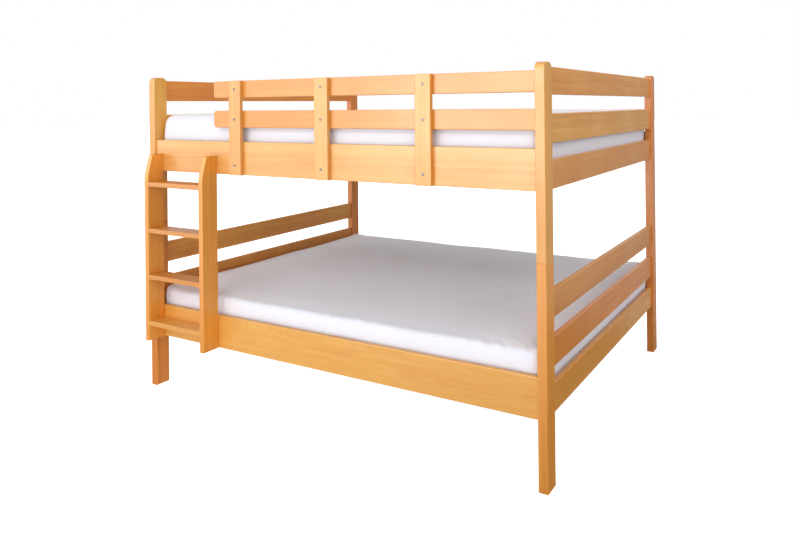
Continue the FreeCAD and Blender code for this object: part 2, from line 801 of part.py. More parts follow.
def stile(x_side):
    """A ladder stile: nosed at its top, housed for the steps, screwed to the upper rail from behind."""
    corner = (
        left + s.ladder_inset + from_side(x_side, s.ladder_width, 0, s.stile_thickness),
        ladder_front,
        s.rail_bottom,
    )
    height = upper.foot + s.stile_lap
    body = new_body(f"ladder_stile_{SIDE_NAMES[x_side]}", corner)
    shape = box(body, (0, 0, 0), (s.stile_thickness, s.stile_depth, height))
    top = in_plane("Z", height.value)
    nose = body.newObject("PartDesign::Chamfer", f"{body.Label}_Nose")
    nose.Base = (shape, pick(shape, both(along("X"), both(top, in_plane("Y", 0.0)))))
    nose.ChamferType = "Two distances"
    nose.FlipDirection = True
    bind(nose, Size=s.stile_nose_depth, Size2=s.stile_nose_height)
    shoulder = both(along("X"), in_plane("Y", 0.0))
    shape = rounded(body, nose, both(shoulder, above_foot), s.stile_nose_round)
    shape = rounded(body, shape, both(along("X"), top), s.stile_top_round)
    sides = either(in_plane("X", 0.0), in_plane("X", s.stile_thickness.value))
    rounded(body, shape, both(sides, above_foot), s.edge_round)
    depth = s.step_housing + s.joint_gap
    for step_top in step_tops():
        start = (
            from_side(x_side, s.stile_thickness, s.stile_thickness - depth, depth + s.overrun),
            s.step_housing_stop - s.joint_gap,
            step_top - s.step_thickness - s.joint_gap - s.rail_bottom,
        )
        spans = (
            depth + s.overrun,
            s.stile_depth - s.step_housing_stop + s.joint_gap + s.overrun,
            s.step_thickness + s.joint_gap * 2,
        )
        box(body, start, spans, cut=True)
    depth = s.ladder_screw_length - s.cleat_thickness - s.rail_thickness + s.bolt_gap
    for rise in ladder_screw_rises():
        start = (s.stile_thickness / 2, s.stile_depth - depth, upper.foot + rise)
        rod(body, start, "y", s.ladder_screw_radius + s.joint_gap, depth + s.overrun, cut=True)
    return keep(body)


def step_tops():
    """The heights of the steps' top faces above the floor, evenly spaced."""
    last = upper.foot + s.rail_bottom - s.top_step_drop
    pitch = (last - s.first_step_height) / (STEPS - 1)
    return [s.first_step_height + pitch * n for n in range(STEPS)]


def step(number, step_top):
    """A ladder step, with a stub at each end that sits in the stile's housing."""
    depth = s.stile_depth - s.step_setback - s.step_back_gap
    clear = s.ladder_width - s.stile_thickness * 2
    corner = (
        left + s.ladder_inset + s.stile_thickness,
        ladder_front + s.step_setback,
        step_top - s.step_thickness,
    )
    body = new_body(f"ladder_step_{number}", corner)
    tread = box(body, (0, 0, 0), (clear, depth, s.step_thickness))
    rounded(body, tread, both(along("X"), in_plane("Y", 0.0)), s.edge_round)
    stub = s.step_housing_stop - s.step_setback
    box(body, (-s.step_housing, stub, 0), (clear + s.step_housing * 2, depth - stub, s.step_thickness))
    return keep(body)


def ladder_screws():
    """The four screws that hold the ladder, driven from inside through cleat and rail."""
    head = (s.bolt_head_radius, s.bolt_head_height)
    pattern = fastener("ladder_screw", head, s.ladder_screw_radius, s.ladder_screw_length, s.screw_tip)
    inside = front + s.rail_recess + s.rail_thickness + s.cleat_thickness
    placed = []
    for centre in stile_centres():
        for rise in ladder_screw_rises():
            place = (left + centre, inside, upper.foot + s.rail_bottom + rise)
            placed.append((pattern, place, TOWARDS["-y"]))
    copies("ladder_screws", placed)


def wood_screws(berth, cleat_screw, bracket_screw):
    """The screws of a berth's two cleats and of its two beam brackets."""
    placed = []
    height = berth.foot + s.rail_bottom + cleat_middle_rise()
    inset = s.rail_recess + s.rail_thickness + s.cleat_thickness
    for centre in cleat_screw_centres():
        placed.append((cleat_screw, (left + centre, front + inset, height), TOWARDS["-y"]))
        placed.append((cleat_screw, (left + centre, back - inset, height), TOWARDS["y"]))
    height = berth.foot + s.rail_bottom + s.cleat_rise - s.beam_height / 2
    for (face, _, way), plate in zip(bracket_faces(), (s.bracket_plate, -s.bracket_plate)):
        for offset in bracket_screw_offsets():
            placed.append((bracket_screw, (face + plate, middle + offset, height), TOWARDS[way]))
    copies(berth.label("wood_screws"), placed)


def rail_fittings(berth, stud, nut):
    """The studs of a berth's side rails and the half-moon nuts in their pockets."""
    studs = []
    nuts = []
    for y_side in (FRONT, BACK):
        across = front + from_side(y_side, bed_width, s.rail_recess + s.rail_thickness / 2)
        for x_side in (LEFT, RIGHT):
            inset = s.post_thickness - s.stud_grip
            along_rail = left + from_side(x_side, bed_length, inset)
            pocket = left + from_side(x_side, bed_length, s.post_thickness + s.pocket_inset)
            for rise in stud_rises():
                height = berth.foot + s.rail_bottom + rise
                stud_turn = TOWARDS["x"] if x_side == LEFT else TOWARDS["-x"]
                nut_turn = TOWARDS["z"] if x_side == LEFT else HALF_TURN
                studs.append((stud, (along_rail, across, height), stud_turn))
                nuts.append((nut, (pocket, across, height), nut_turn))
    copies(berth.label("rail_studs"), studs)
    copies(berth.label("rail_nuts"), nuts)


def stud_pattern():
    """A stud along +Z, from inside the post to just past the nut in the rail's pocket."""
    body = new_body("stud_pattern")
    length = s.stud_grip + s.pocket_inset + s.nut_height + s.stud_tail
    shank = rod(body, (0, 0, 0), "z", s.stud_radius, length)
    chamfered(body, shank, lambda bounds: bounds.ZLength < SAME_PLACE, s.fine_round)
    return body


def rail_nut_pattern():
    """A half-moon washer with its nut, at the centre of a pocket of the left end: the stud comes from -X."""
    body = new_body("rail_nut_pattern")
    radius = s.pocket_radius - s.bolt_gap
    thick = s.half_moon_thickness
    rod(body, (0, -thick / 2, 0), "y", radius, thick)
    far_half = (radius * 2, thick + s.overrun * 2, (radius + s.overrun) * 2)
    box(body, (0, -thick / 2 - s.overrun, -radius - s.overrun), far_half, cut=True)
    nut = body.newObject("PartDesign::AdditivePrism", "rail_nut_Hexagon")
    nut.Polygon = 6
    bind(nut, Circumradius=s.nut_corner_radius, Height=s.nut_height)
    nut.Placement = Placement(Vector(), TOWARDS["x"])
    start = (-radius - s.overrun, 0, 0)
    rod(body, start, "x", s.stud_radius + s.joint_gap, radius + s.nut_height + s.overrun * 2, cut=True)
    return body


def pin_pattern():
    """A dowel pin along +Z with chamfered ends."""
    body = new_body("pin_pattern")
    shank = rod(body, (0, 0, 0), "z", s.pin_radius, s.pin_length)
    chamfered(body, shank, lambda bounds: bounds.ZLength < SAME_PLACE, s.pin_chamfer)
    return body


def post_pins():
    """The four pins that join the halves of the posts."""
    pattern = pin_pattern()
    placed = []
    for x_side in (LEFT, RIGHT):
        for y_side in (FRONT, BACK):
            place = (
                left + from_side(x_side, bed_length, s.post_thickness / 2),
                front + from_side(y_side, bed_width, s.post_depth / 2),
                upper.foot - s.pin_length / 2,
            )
            placed.append((pattern, place, TOWARDS["z"]))
    copies("post_pins", placed)


def check_document():
    """Stops if any object failed or any piece has no valid solid."""
    for item in doc.Objects:
        if {"Invalid", "Error"} & set(item.State):
            raise RuntimeError(f"{item.Label} failed: {item.State}")
    for piece in pieces:
        if piece.Shape.isNull() or not piece.Shape.isValid() or not piece.Shape.Solids:
            raise RuntimeError(f"{piece.Label} has no valid solid")


doc = FreeCAD.newDocument("BunkBed")
pieces = []
s = make_sheet()

bed_length = s.mattress_length + s.end_play * 2 + s.post_thickness * 2
bed_width = s.mattress_width + (s.side_play + s.rail_thickness + s.rail_recess) * 2
ladder_reach = s.stile_depth - s.rail_recess
left = -bed_length / 2
right = bed_length / 2
ladder_front = -(bed_width + ladder_reach) / 2
front = ladder_front + ladder_reach
back = front + bed_width
middle = front + bed_width / 2
lower = Berth("lower", 0, s.lower_post_height, s.lower_mattress_thickness)
upper = Berth("upper", s.lower_post_height, s.upper_post_height, s.upper_mattress_thickness)

slat = slat_pattern()
tape = tape_pattern()
bracket = bracket_pattern()
stud = stud_pattern()
rail_nut = rail_nut_pattern()
screw_head = (s.screw_head_radius, s.screw_head_height)
cleat_screw = fastener("cleat_screw", screw_head, s.screw_radius, s.cleat_screw_length, s.screw_tip)
bracket_screw = fastener("bracket_screw", screw_head, s.screw_radius, s.bracket_screw_length, s.screw_tip)

for berth in (lower, upper):
    for x_side in (LEFT, RIGHT):
        for y_side in (FRONT, BACK):
            post(berth, x_side, y_side)
        for name, bottom, height in end_board_rows():
            end_board(berth, x_side, name, bottom, height)
    for y_side in (FRONT, BACK):
        side_rail(berth, y_side)
        cleat(berth, y_side)
    rail_fittings(berth, stud, rail_nut)
    centre_beam(berth)
    beam_brackets(berth, bracket)
    wood_screws(berth, cleat_screw, bracket_screw)
    slats(berth, slat)
    tapes(berth, tape)
    mattress(berth)

post_pins()
for name, bottom in guard_rows():
    guard_board(name, bottom)
back_guard_board()
for number, name in enumerate(("left", "middle", "right")):
    batten(number, name)
batten_bolts()
for x_side in (LEFT, RIGHT):
    stile(x_side)
for number, step_top in enumerate(step_tops(), start=1):
    step(number, step_top)
ladder_screws()

doc.recompute()
check_document()
os.makedirs("parts", exist_ok=True)
for piece in pieces:
    piece.Shape.exportStep(os.path.join("parts", f"{piece.Label}.step"))
print(f"{len(pieces)} nodes, {sum(len(piece.Shape.Solids) for piece in pieces)} solids")
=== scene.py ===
# The looks of a wooden bunk bed: two double berths, one stacked on the other, with a ladder and guards.
# Metres, +Z up, +X to the right as seen from the front. The ladder and the high guard are at the front,
# towards -Y.

import logging
import math
from dataclasses import dataclass
from enum import Enum
from typing import NamedTuple

import bpy
import numpy as np
from mathutils import Matrix, Vector


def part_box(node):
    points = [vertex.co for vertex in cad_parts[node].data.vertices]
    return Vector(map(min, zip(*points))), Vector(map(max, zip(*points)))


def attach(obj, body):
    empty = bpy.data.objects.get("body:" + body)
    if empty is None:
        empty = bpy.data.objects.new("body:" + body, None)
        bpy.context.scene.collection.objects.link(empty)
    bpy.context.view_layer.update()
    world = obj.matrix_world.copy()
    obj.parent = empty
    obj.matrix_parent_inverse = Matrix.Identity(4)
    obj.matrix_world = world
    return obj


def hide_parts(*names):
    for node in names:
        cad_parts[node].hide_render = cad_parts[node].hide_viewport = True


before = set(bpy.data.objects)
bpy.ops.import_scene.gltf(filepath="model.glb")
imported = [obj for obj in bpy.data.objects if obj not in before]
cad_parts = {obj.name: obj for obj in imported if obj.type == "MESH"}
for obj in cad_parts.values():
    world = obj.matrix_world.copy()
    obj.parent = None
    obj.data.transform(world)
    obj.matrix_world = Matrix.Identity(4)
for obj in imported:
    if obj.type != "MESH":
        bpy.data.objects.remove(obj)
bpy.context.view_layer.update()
log = logging.getLogger("bunk_bed")

Colour = tuple[float, float, float]
Place = tuple[float, float, float]
Socket = bpy.types.NodeSocket
SIDES = ("left", "right")
FACES = ("front", "back")
ROWS = ("bottom", "middle", "top")
SLATS = 14
STEPS = 4
# Wider than any board that is cut in one piece, so that no glue line shows on it.
UNGLUED = 0.2
# About one full turn: how far waves and phases are drawn by chance.
TURN = 6.28


class Graph:
    """Adds and links the nodes of one shader tree."""

    def __init__(self, tree: bpy.types.NodeTree) -> None:
        """Keeps the tree that the nodes go to."""
        self.tree = tree

    def feed(self, socket: Socket, value: object) -> None:
        """Links a socket to another, or sets its own value.

        Args:
            socket: The input to fill.
            value: An output socket, or a plain value.
        """
        if isinstance(value, Socket):
            self.tree.links.new(value, socket)
        else:
            socket.default_value = value

    def add(self, kind: str, inputs: dict | None = None, **settings: object) -> bpy.types.Node:
        """Adds a node.

        Args:
            kind: The node's type without its "ShaderNode" prefix.
            inputs: What goes to its inputs, by name or number.
            **settings: The node's own settings.

        Returns:
            The new node.
        """
        node = self.tree.nodes.new(f"ShaderNode{kind}")
        for name, setting in settings.items():
            setattr(node, name, setting)
        for key, value in (inputs or {}).items():
            self.feed(node.inputs[key], value)
        return node

    def math(self, operation: str, *values: object, clamp: bool = False) -> Socket:
        """Adds a Math node.

        Args:
            operation: Its operation.
            *values: Its two or three operands.
            clamp: Whether the result stays between 0 and 1.

        Returns:
            The result.
        """
        return self.add("Math", dict(enumerate(values)), operation=operation, use_clamp=clamp).outputs[0]

    def vector(self, operation: str, first: object, second: object) -> Socket:
        """Adds a Vector Math node with two vectors and returns its result."""
        return self.add("VectorMath", {0: first, 1: second}, operation=operation).outputs[0]

    def parts(self, vector: Socket) -> tuple[Socket, Socket, Socket]:
        """Splits a vector into its three numbers."""
        return tuple(self.add("SeparateXYZ", {0: vector}).outputs)

    def whole(self, x: object, y: object, z: object) -> Socket:
        """Joins three numbers into a vector."""
        return self.add("CombineXYZ", {0: x, 1: y, 2: z}).outputs[0]

    def between(self, value: Socket, start: float, end: float, low: float = 0.0, high: float = 1.0) -> Socket:
        """Maps a stretch of values smoothly onto another.

        Args:
            value: The number to map.
            start: Where it gives low.
            end: Where it gives high.
            low: The result at start.
            high: The result at end.

        Returns:
            The mapped number.
        """
        inputs = {0: value, 1: start, 2: end, 3: low, 4: high}
        return self.add("MapRange", inputs, interpolation_type="SMOOTHSTEP").outputs[0]

    def mix(self, share: object, first: object, second: object, mode: str = "MIX") -> Socket:
        """Mixes two colours.

        Args:
            share: How much of the second goes in.
            first: The first colour.
            second: The second colour.
            mode: How they are mixed.

        Returns:
            The mixed colour.
        """
        inputs = {0: share, 6: opaque(first), 7: opaque(second)}
        return self.add("Mix", inputs, data_type="RGBA", blend_type=mode).outputs[2]

    def noise(self, point: Socket, scale: float, detail: float = 2.0, kind: str = "3D") -> Socket:
        """Adds a Noise texture.

        Args:
            point: Where it is read: a point, or a number where kind is 1D.
            scale: How many of its waves go into one unit of the point.
            detail: How many finer noises lie on it.
            kind: Its dimensions.

        Returns:
            The noise, mostly between 0.3 and 0.7.
        """
        where = "W" if kind == "1D" else "Vector"
        inputs = {where: point, "Scale": scale, "Detail": detail}
        return self.add("TexNoise", inputs, noise_dimensions=kind).outputs[0]


def opaque(colour: object) -> object:
    """Gives a plain colour its alpha, and leaves a socket as it is."""
    return (*colour, 1.0) if isinstance(colour, tuple) and len(colour) == 3 else colour


class Effect:
    """A shader node group that several materials use: made once, and placed with its own values."""

    name = "effect"
    takes: dict[str, object] = {}
    gives: tuple[str, ...] = ()

    def wire(self, graph: Graph, given: dict[str, Socket]) -> dict[str, Socket]:
        """Makes the group's nodes.

        Args:
            graph: The group's tree.
            given: The group's inputs by name.

        Returns:
            The group's outputs by name.
        """
        raise NotImplementedError

    def tree(self) -> bpy.types.NodeTree:
        """Finds the node group, and makes it when it is first asked for.

        Returns:
            The group's tree.
        """
        made = bpy.data.node_groups.get(self.name)
        if made:
            return made
        made = bpy.data.node_groups.new(self.name, "ShaderNodeTree")
        for name, value in self.takes.items():
            kind = "NodeSocketVector" if isinstance(value, tuple) else "NodeSocketFloat"
            made.interface.new_socket(name, in_out="INPUT", socket_type=kind).default_value = value
        for name in self.gives:
            made.interface.new_socket(name, in_out="OUTPUT", socket_type="NodeSocketFloat")
        graph = Graph(made)
        given = graph.tree.nodes.new("NodeGroupInput").outputs
        results = self.wire(graph, {name: given[name] for name in self.takes})
        out = graph.tree.nodes.new("NodeGroupOutput").inputs
        for name, result in results.items():
            graph.feed(out[name], result)
        return made

    def place(self, graph: Graph, inputs: dict[str, object]) -> dict[str, Socket]:
        """Places the group in a material.

        Args:
            graph: The material's tree.
            inputs: What goes to the group's inputs.

        Returns:
            The group's outputs by name.
        """
        node = graph.tree.nodes.new("ShaderNodeGroup")
        node.node_tree = self.tree()
        for name, value in inputs.items():
            graph.feed(node.inputs[name], value)
        return {name: node.outputs[name] for name in self.gives}


class BoardGrain(Effect):
    """Annual rings, fibres, ray flecks and glue lines of a board that runs along the point's X."""

    name = "board_grain"
    takes = {"Point": (0.0, 0.0, 0.0), "Lamella Width": 0.05, "Ring Width": 0.004, "Figure": 1.0, "Seed": 0.0}
    gives = ("Tone", "Fibre", "Fleck", "Glue Line")
    cut_apart: float = 7.3
    off_centre: float = 0.07
    nearest_pith: float = 0.018
    pith_reach: float = 0.045
    wander: float = 0.04
    elsewhere: float = 31.7
    streak_scale: tuple[float, float] = (1.5, 85.0)
    fibre_scale: tuple[float, float] = (22.0, 900.0)
    fleck_scale: tuple[float, float] = (210.0, 1150.0)
    ring_tone: float = 0.16
    streak_tone: float = 0.42
    fibre_tone: float = 0.22
    vein_tone: float = 0.22
    lamella_tone: float = 0.16
    darkest: float = 0.13
    glue_width: float = 0.0005

    def drawn_out(self, graph: Graph, place: tuple[Socket, ...], scale: tuple[float, float]) -> Socket:
        """Draws a texture out along the fibres.

        Args:
            graph: The group's tree.
            place: The place along the trunk and the two places across it.
            scale: How many texture units go into a metre along the fibres, and across them.

        Returns:
            The point at which the texture is read.
        """
        return graph.whole(*(graph.math("MULTIPLY", number, scale[min(axis, 1)])
                             for axis, number in enumerate(place)))

    def wire(self, graph: Graph, given: dict[str, Socket]) -> dict[str, Socket]:
        """Cuts each glued lamella from another place of the trunk.

        Args:
            graph: The group's tree.
            given: The group's inputs by name.

        Returns:
            The group's outputs by name.
        """
        g = graph
        along, across, through = g.parts(given["Point"])
        lamella = g.math("DIVIDE", across, given["Lamella Width"])
        number = g.math("FLOOR", lamella)
        inside = g.math("SUBTRACT", g.math("FRACT", lamella), 0.5)
        draw = g.math("ADD", number, given["Seed"])
        chance = g.add("TexWhiteNoise", {"W": draw}, noise_dimensions="1D").outputs["Color"]
        first, second, third = g.parts(chance)
        along = g.math("MULTIPLY_ADD", first, self.cut_apart, along)
        bend = g.math("MULTIPLY", given["Figure"], self.wander)
        sway = g.math("MULTIPLY", g.math("SUBTRACT", g.noise(along, 1.5, 1.0, "1D"), 0.5), bend)
        elsewhere = g.math("ADD", along, self.elsewhere)
        lift = g.math("MULTIPLY", g.math("SUBTRACT", g.noise(elsewhere, 2.2, 1.5, "1D"), 0.5), bend)
        side = g.math("MULTIPLY", inside, given["Lamella Width"])
        side = g.math("ADD", side, g.math("MULTIPLY", g.math("SUBTRACT", second, 0.5), self.off_centre))
        side = g.math("ADD", side, sway)
        depth = g.math("ADD", through, g.math("MULTIPLY_ADD", third, self.pith_reach, self.nearest_pith))
        depth = g.math("ADD", depth, lift)
        radius = g.math("SQRT", g.math("ADD", g.math("POWER", side, 2.0), g.math("POWER", depth, 2.0)))
        layers = g.noise(g.math("DIVIDE", radius, given["Ring Width"]), 0.55, 2.0, "1D")
        rings = g.between(layers, 0.3, 0.7, -0.5, 0.5)
        vein = g.math("MULTIPLY", g.between(layers, 0.6, 0.72), given["Figure"])
        place = (along, side, depth)
        streak = g.noise(self.drawn_out(g, place, self.streak_scale), 1.0, 2.0)
        fibre = g.noise(self.drawn_out(g, place, self.fibre_scale), 1.0, 2.0)
        fleck_point = self.drawn_out(g, place, self.fleck_scale)
        near = g.add("TexVoronoi", {"Vector": fleck_point, "Scale": 1.0}).outputs["Distance"]
        fleck = g.between(near, 0.30, 0.16)
        tone = self.darkest
        for part, share in ((rings, self.ring_tone), (streak, self.streak_tone), (fibre, self.fibre_tone),
                            (vein, self.vein_tone)):
            tone = g.math("MULTIPLY_ADD", part, share, tone)
        tone = g.math("MULTIPLY_ADD", g.math("SUBTRACT", second, 0.5), self.lamella_tone, tone, clamp=True)
        edge = g.math("MULTIPLY", g.math("SUBTRACT", 0.5, g.math("ABSOLUTE", inside)), given["Lamella Width"])
        glue = g.between(edge, self.glue_width, 0.0)
        return {"Tone": tone, "Fibre": fibre, "Fleck": fleck, "Glue Line": glue}


class Unevenness(Effect):
    """Slow unevenness of a surface: soft blotches of tone and the faint ripple of a coating."""

    name = "unevenness"
    takes = {"Point": (0.0, 0.0, 0.0), "Blotch Scale": 4.0, "Ripple Scale": 140.0}
    gives = ("Blotch", "Ripple")

    def wire(self, graph: Graph, given: dict[str, Socket]) -> dict[str, Socket]:
        """Puts a slow and a quick noise side by side.

        Args:
            graph: The group's tree.
            given: The group's inputs by name.

        Returns:
            The group's outputs by name.
        """
        blotch = graph.noise(given["Point"], given["Blotch Scale"], 3.0)
        ripple = graph.noise(given["Point"], given["Ripple Scale"], 1.0)
        return {"Blotch": graph.between(blotch, 0.3, 0.7), "Ripple": ripple}


class PlainWeave(Effect):
    """Threads that pass over and under each other, laid on the face that each part of the cloth shows."""

    name = "plain_weave"
    takes = {"Point": (0.0, 0.0, 0.0), "Normal": (0.0, 0.0, 1.0), "Thread Pitch": 0.0007}
    gives = ("Height", "Thread")

    def wire(self, graph: Graph, given: dict[str, Socket]) -> dict[str, Socket]:
        """Lets warp and weft take turns on top, square by square.

        Args:
            graph: The group's tree.
            given: The group's inputs by name.

        Returns:
            The group's outputs by name.
        """
        g = graph
        x, y, z = g.parts(given["Point"])
        facing = g.parts(g.add("VectorMath", {0: given["Normal"]}, operation="ABSOLUTE").outputs[0])
        on_end = g.math("GREATER_THAN", facing[0], 0.707)
        on_top = g.math("GREATER_THAN", facing[2], 0.707)
        warp = g.add("Mix", {0: on_end, 2: x, 3: y}).outputs[0]
        weft = g.add("Mix", {0: on_top, 2: z, 3: y}).outputs[0]
        warp = g.math("DIVIDE", warp, given["Thread Pitch"])
        weft = g.math("DIVIDE", weft, given["Thread Pitch"])
        over = g.math("MODULO", g.math("ADD", g.math("FLOOR", warp), g.math("FLOOR", weft)), 2.0)
        over = g.math("ABSOLUTE", over)
        warp_rise = g.math("ABSOLUTE", g.math("SINE", g.math("MULTIPLY", warp, math.pi)))
        weft_rise = g.math("ABSOLUTE", g.math("SINE", g.math("MULTIPLY", weft, math.pi)))
        height = g.add("Mix", {0: over, 2: warp_rise, 3: weft_rise}).outputs[0]
        slub_point = g.whole(g.math("MULTIPLY", warp, 0.05), g.math("MULTIPLY", weft, 0.9), 0.0)
        return {"Height": height, "Thread": g.noise(slub_point, 1.0, 1.0)}


class Lay(Enum):
    """How a board lies: the row axes along its fibres, across its face and through its thickness."""

    RAIL = "xzy"
    STEP = "xyz"
    END_BOARD = "yzx"
    SLAT = "yxz"
    POST = "zyx"
    BATTEN = "zxy"


class Hue(Enum):
    """What a board's hue does to its finish: partly the tone of boards from several trunks, and partly
    painted light, paler for a painted sheen and deeper for painted shade.
    """

    PLAIN = (1.0, 1.0, 1.0)
    PALE = (1.0, 1.15, 1.85)
    CREAM = (1.0, 1.12, 1.25)
    GOLDEN = (1.05, 1.0, 0.8)
    AMBER = (0.88, 0.81, 0.7)
    RUSSET = (0.93, 0.73, 0.6)

    def tint(self, colour: Colour) -> Colour:
        """Gives a colour this hue."""
        return tuple(part * share for part, share in zip(colour, self.value))


# Boards named here get hues that partly stand in for light: paler hues for a painted sheen, deeper russet and
# amber hues for painted shade.
HUES_WITH_PAINTED_LIGHT = {
    Hue.PALE: ("upper_side_rail_front", "upper_guard_batten_left", "upper_guard_batten_middle"),
    Hue.CREAM: ("upper_right_end_board_middle", "upper_post_front_left", "upper_post_front_right",
                "lower_side_rail_front", "ladder_step_1"),
    Hue.GOLDEN: ("lower_post_front_right", "ladder_stile_left", "ladder_stile_right"),
    Hue.AMBER: ("ladder_step_2", "ladder_step_3", "ladder_step_4", "upper_guard_board_middle",
                "upper_guard_board_top", "upper_right_end_board_bottom", "lower_right_end_board_top",
                "lower_left_end_board_middle"),
    Hue.RUSSET: ("lower_right_end_board_middle", "upper_left_end_board_top", "upper_post_back_left",
                 "upper_post_back_right", "lower_post_back_left", "lower_post_back_right",
                 "lower_post_front_left"),
}


def hue_of(node: str) -> Hue:
    """The hue given to a board's wood, partly its own tone and partly painted light; plain where the board
    isn't named among the others.
    """
    return next((hue for hue, nodes in HUES_WITH_PAINTED_LIGHT.items() if node in nodes), Hue.PLAIN)


def new_material(name: str, **values: object) -> tuple[bpy.types.Material, Graph, bpy.types.Node]:
    """Starts a material with one Principled shader.

    Args:
        name: The material's name.
        **values: Values for the shader's own sockets, with "_" for the spaces in their names.

    Returns:
        The material, its tree and its shader.
    """
    material = bpy.data.materials.new(name)
    material.use_nodes = True
    graph = Graph(material.node_tree)
    shader = material.node_tree.nodes["Principled BSDF"]
    for key, value in values.items():
        graph.feed(shader.inputs[key.replace("_", " ")], opaque(value))
    return material, graph, shader


def bump(graph: Graph, shader: bpy.types.Node, height: Socket, strength: float, distance: float) -> None:
    """Raises a surface by a height.

    Args:
        graph: The material's tree.
        shader: Its shader.
        height: The height, from 0 to 1.
        strength: How much of it shows.
        distance: What a height of 1 stands for, in metres.
    """
    raised = graph.add("Bump", {"Height": height, "Strength": strength, "Distance": distance})
    graph.feed(shader.inputs["Normal"], raised.outputs[0])


def assign(piece: bpy.types.Object, material: bpy.types.Material) -> None:
    """Puts a material in every slot of a piece.

    Args:
        piece: The piece, which gets a slot if it has none.
        material: The material.
    """
    if not piece.material_slots:
        piece.data.materials.append(material)
    for slot in piece.material_slots:
        slot.material = material


@dataclass(frozen=True)
class Wood:
    """A finish of wood: its colours from early to late wood, and what lies on them."""

    name: str
    pale: Colour
    middle: Colour
    deep: Colour
    end_grain: Colour
    ring_width: float
    figure: float
    fleck: float
    roughness: float
    coat: float
    coat_roughness: float = 0.18
    blotch_tone: float = 0.12
    blotch_roughness: float = 0.08
    fibre_roughness: float = 0.06
    glue_shade: float = 0.35
    end_shade: float = 0.75
    relief: float = 0.00025
    apart: float = 3.17
    slat_apart: float = 2.31
    slat_offset: float = 0.012

    def on_board(self, node: str, lay: Lay, lamella_width: float, seed: float, pitch: float = 0.0,
                 figure: float | None = None) -> None:
        """Dresses a board of the frame in wood of its own.

        Args:
            node: The board's name in the frame.
            lay: How it lies.
            lamella_width: The width of the lamellas that it is glued from.
            seed: What sets its grain apart from that of the other boards.
            pitch: The spacing of equal boards in one node, across their faces, or 0 for a single board.
            figure: How much its rings wander and show, where that isn't the finish's own value.
        """
        name = f"{self.name}_{node}"
        material, g, shader = new_material(name, Coat_Weight=self.coat, Coat_Roughness=self.coat_roughness)
        axes = ["xyz".index(letter) for letter in lay.value]
        spot = g.add("TexCoord")
        point = g.vector("SUBTRACT", spot.outputs["Object"], tuple(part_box(node)[0]))
        numbers = g.parts(point)
        along, across, through = (numbers[axis] for axis in axes)
        if pitch:
            turn = g.math("FLOOR", g.math("DIVIDE", across, pitch))
            along = g.math("MULTIPLY_ADD", turn, self.slat_apart, along)
            offset = g.math("SINE", g.math("MULTIPLY", turn, 12.7))
            through = g.math("MULTIPLY_ADD", offset, self.slat_offset, through)
        grain_point = g.whole(g.math("ADD", along, seed * self.apart), across, through)
        grain = BoardGrain().place(g, {
            "Point": grain_point,
            "Lamella Width": lamella_width,
            "Ring Width": self.ring_width,
            "Figure": self.figure if figure is None else figure,
            "Seed": seed,
        })
        cover = Unevenness().place(g, {"Point": spot.outputs["Object"]})
        tone = g.math("SUBTRACT", grain["Tone"], self.blotch_tone / 2)
        tone = g.math("MULTIPLY_ADD", cover["Blotch"], self.blotch_tone, tone)
        # The hue is partly the board's own tone and partly painted light: paler for a painted sheen, deeper
        # for painted shade.
        hue = hue_of(node)
        deep = hue.tint(self.deep)
        ramp = g.add("ValToRGB", {0: tone})
        stops = ramp.color_ramp.elements
        stops[0].position, stops[0].color = 0.2, opaque(hue.tint(self.pale))
        stops[1].position, stops[1].color = 0.85, opaque(deep)
        stops.new(0.5).color = opaque(hue.tint(self.middle))
        colour = g.mix(g.math("MULTIPLY", grain["Fleck"], self.fleck), ramp.outputs[0], deep)
        colour = g.mix(g.math("MULTIPLY", grain["Glue Line"], self.glue_shade), colour, deep)
        facing = g.parts(spot.outputs["Normal"])[axes[0]]
        end = g.between(g.math("ABSOLUTE", facing), 0.55, 0.95, 0.0, self.end_shade)
        g.feed(shader.inputs["Base Color"], g.mix(end, colour, hue.tint(self.end_grain)))
        smoothest = self.roughness - self.blotch_roughness / 2
        rough = g.math("MULTIPLY_ADD", cover["Blotch"], self.blotch_roughness, smoothest)
        rough = g.math("MULTIPLY_ADD", grain["Fibre"], self.fibre_roughness, rough)
        g.feed(shader.inputs["Roughness"], rough)
        height = g.math("MULTIPLY_ADD", grain["Fibre"], 0.5, g.math("MULTIPLY", cover["Ripple"], 0.5))
        height = g.math("SUBTRACT", height, g.math("MULTIPLY", grain["Glue Line"], 0.5))
        bump(g, shader, height, 0.35, self.relief)
        assign(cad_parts[node], material)


@dataclass(frozen=True)
class Cloth:
    """A finish of woven cloth."""

    name: str
    colour: Colour
    shade: Colour
    thread_pitch: float
    relief: float
    sheen: float
    roughness: float = 0.92
    sheen_roughness: float = 0.45

    def material(self) -> bpy.types.Material:
        """Makes the cloth's material.

        Returns:
            The new material.
        """
        made, g, shader = new_material(self.name, Roughness=self.roughness, Sheen_Weight=self.sheen,
                                       Sheen_Roughness=self.sheen_roughness)
        spot = g.add("TexCoord").outputs
        cover = Unevenness().place(g, {"Point": spot["Object"], "Blotch Scale": 3.0, "Ripple Scale": 60.0})
        weave = PlainWeave().place(g, {
            "Point": spot["Object"],
            "Normal": spot["Normal"],
            "Thread Pitch": self.thread_pitch,
        })
        depth = g.math("MULTIPLY_ADD", weave["Thread"], 0.5, g.math("MULTIPLY", cover["Blotch"], 0.3))
        g.feed(shader.inputs["Base Color"], g.mix(g.math("MULTIPLY", depth, 0.8), self.colour, self.shade))
        height = g.math("MULTIPLY_ADD", weave["Height"], 0.6, g.math("MULTIPLY", cover["Ripple"], 1.6))
        bump(g, shader, height, 0.4, self.relief)
        return made


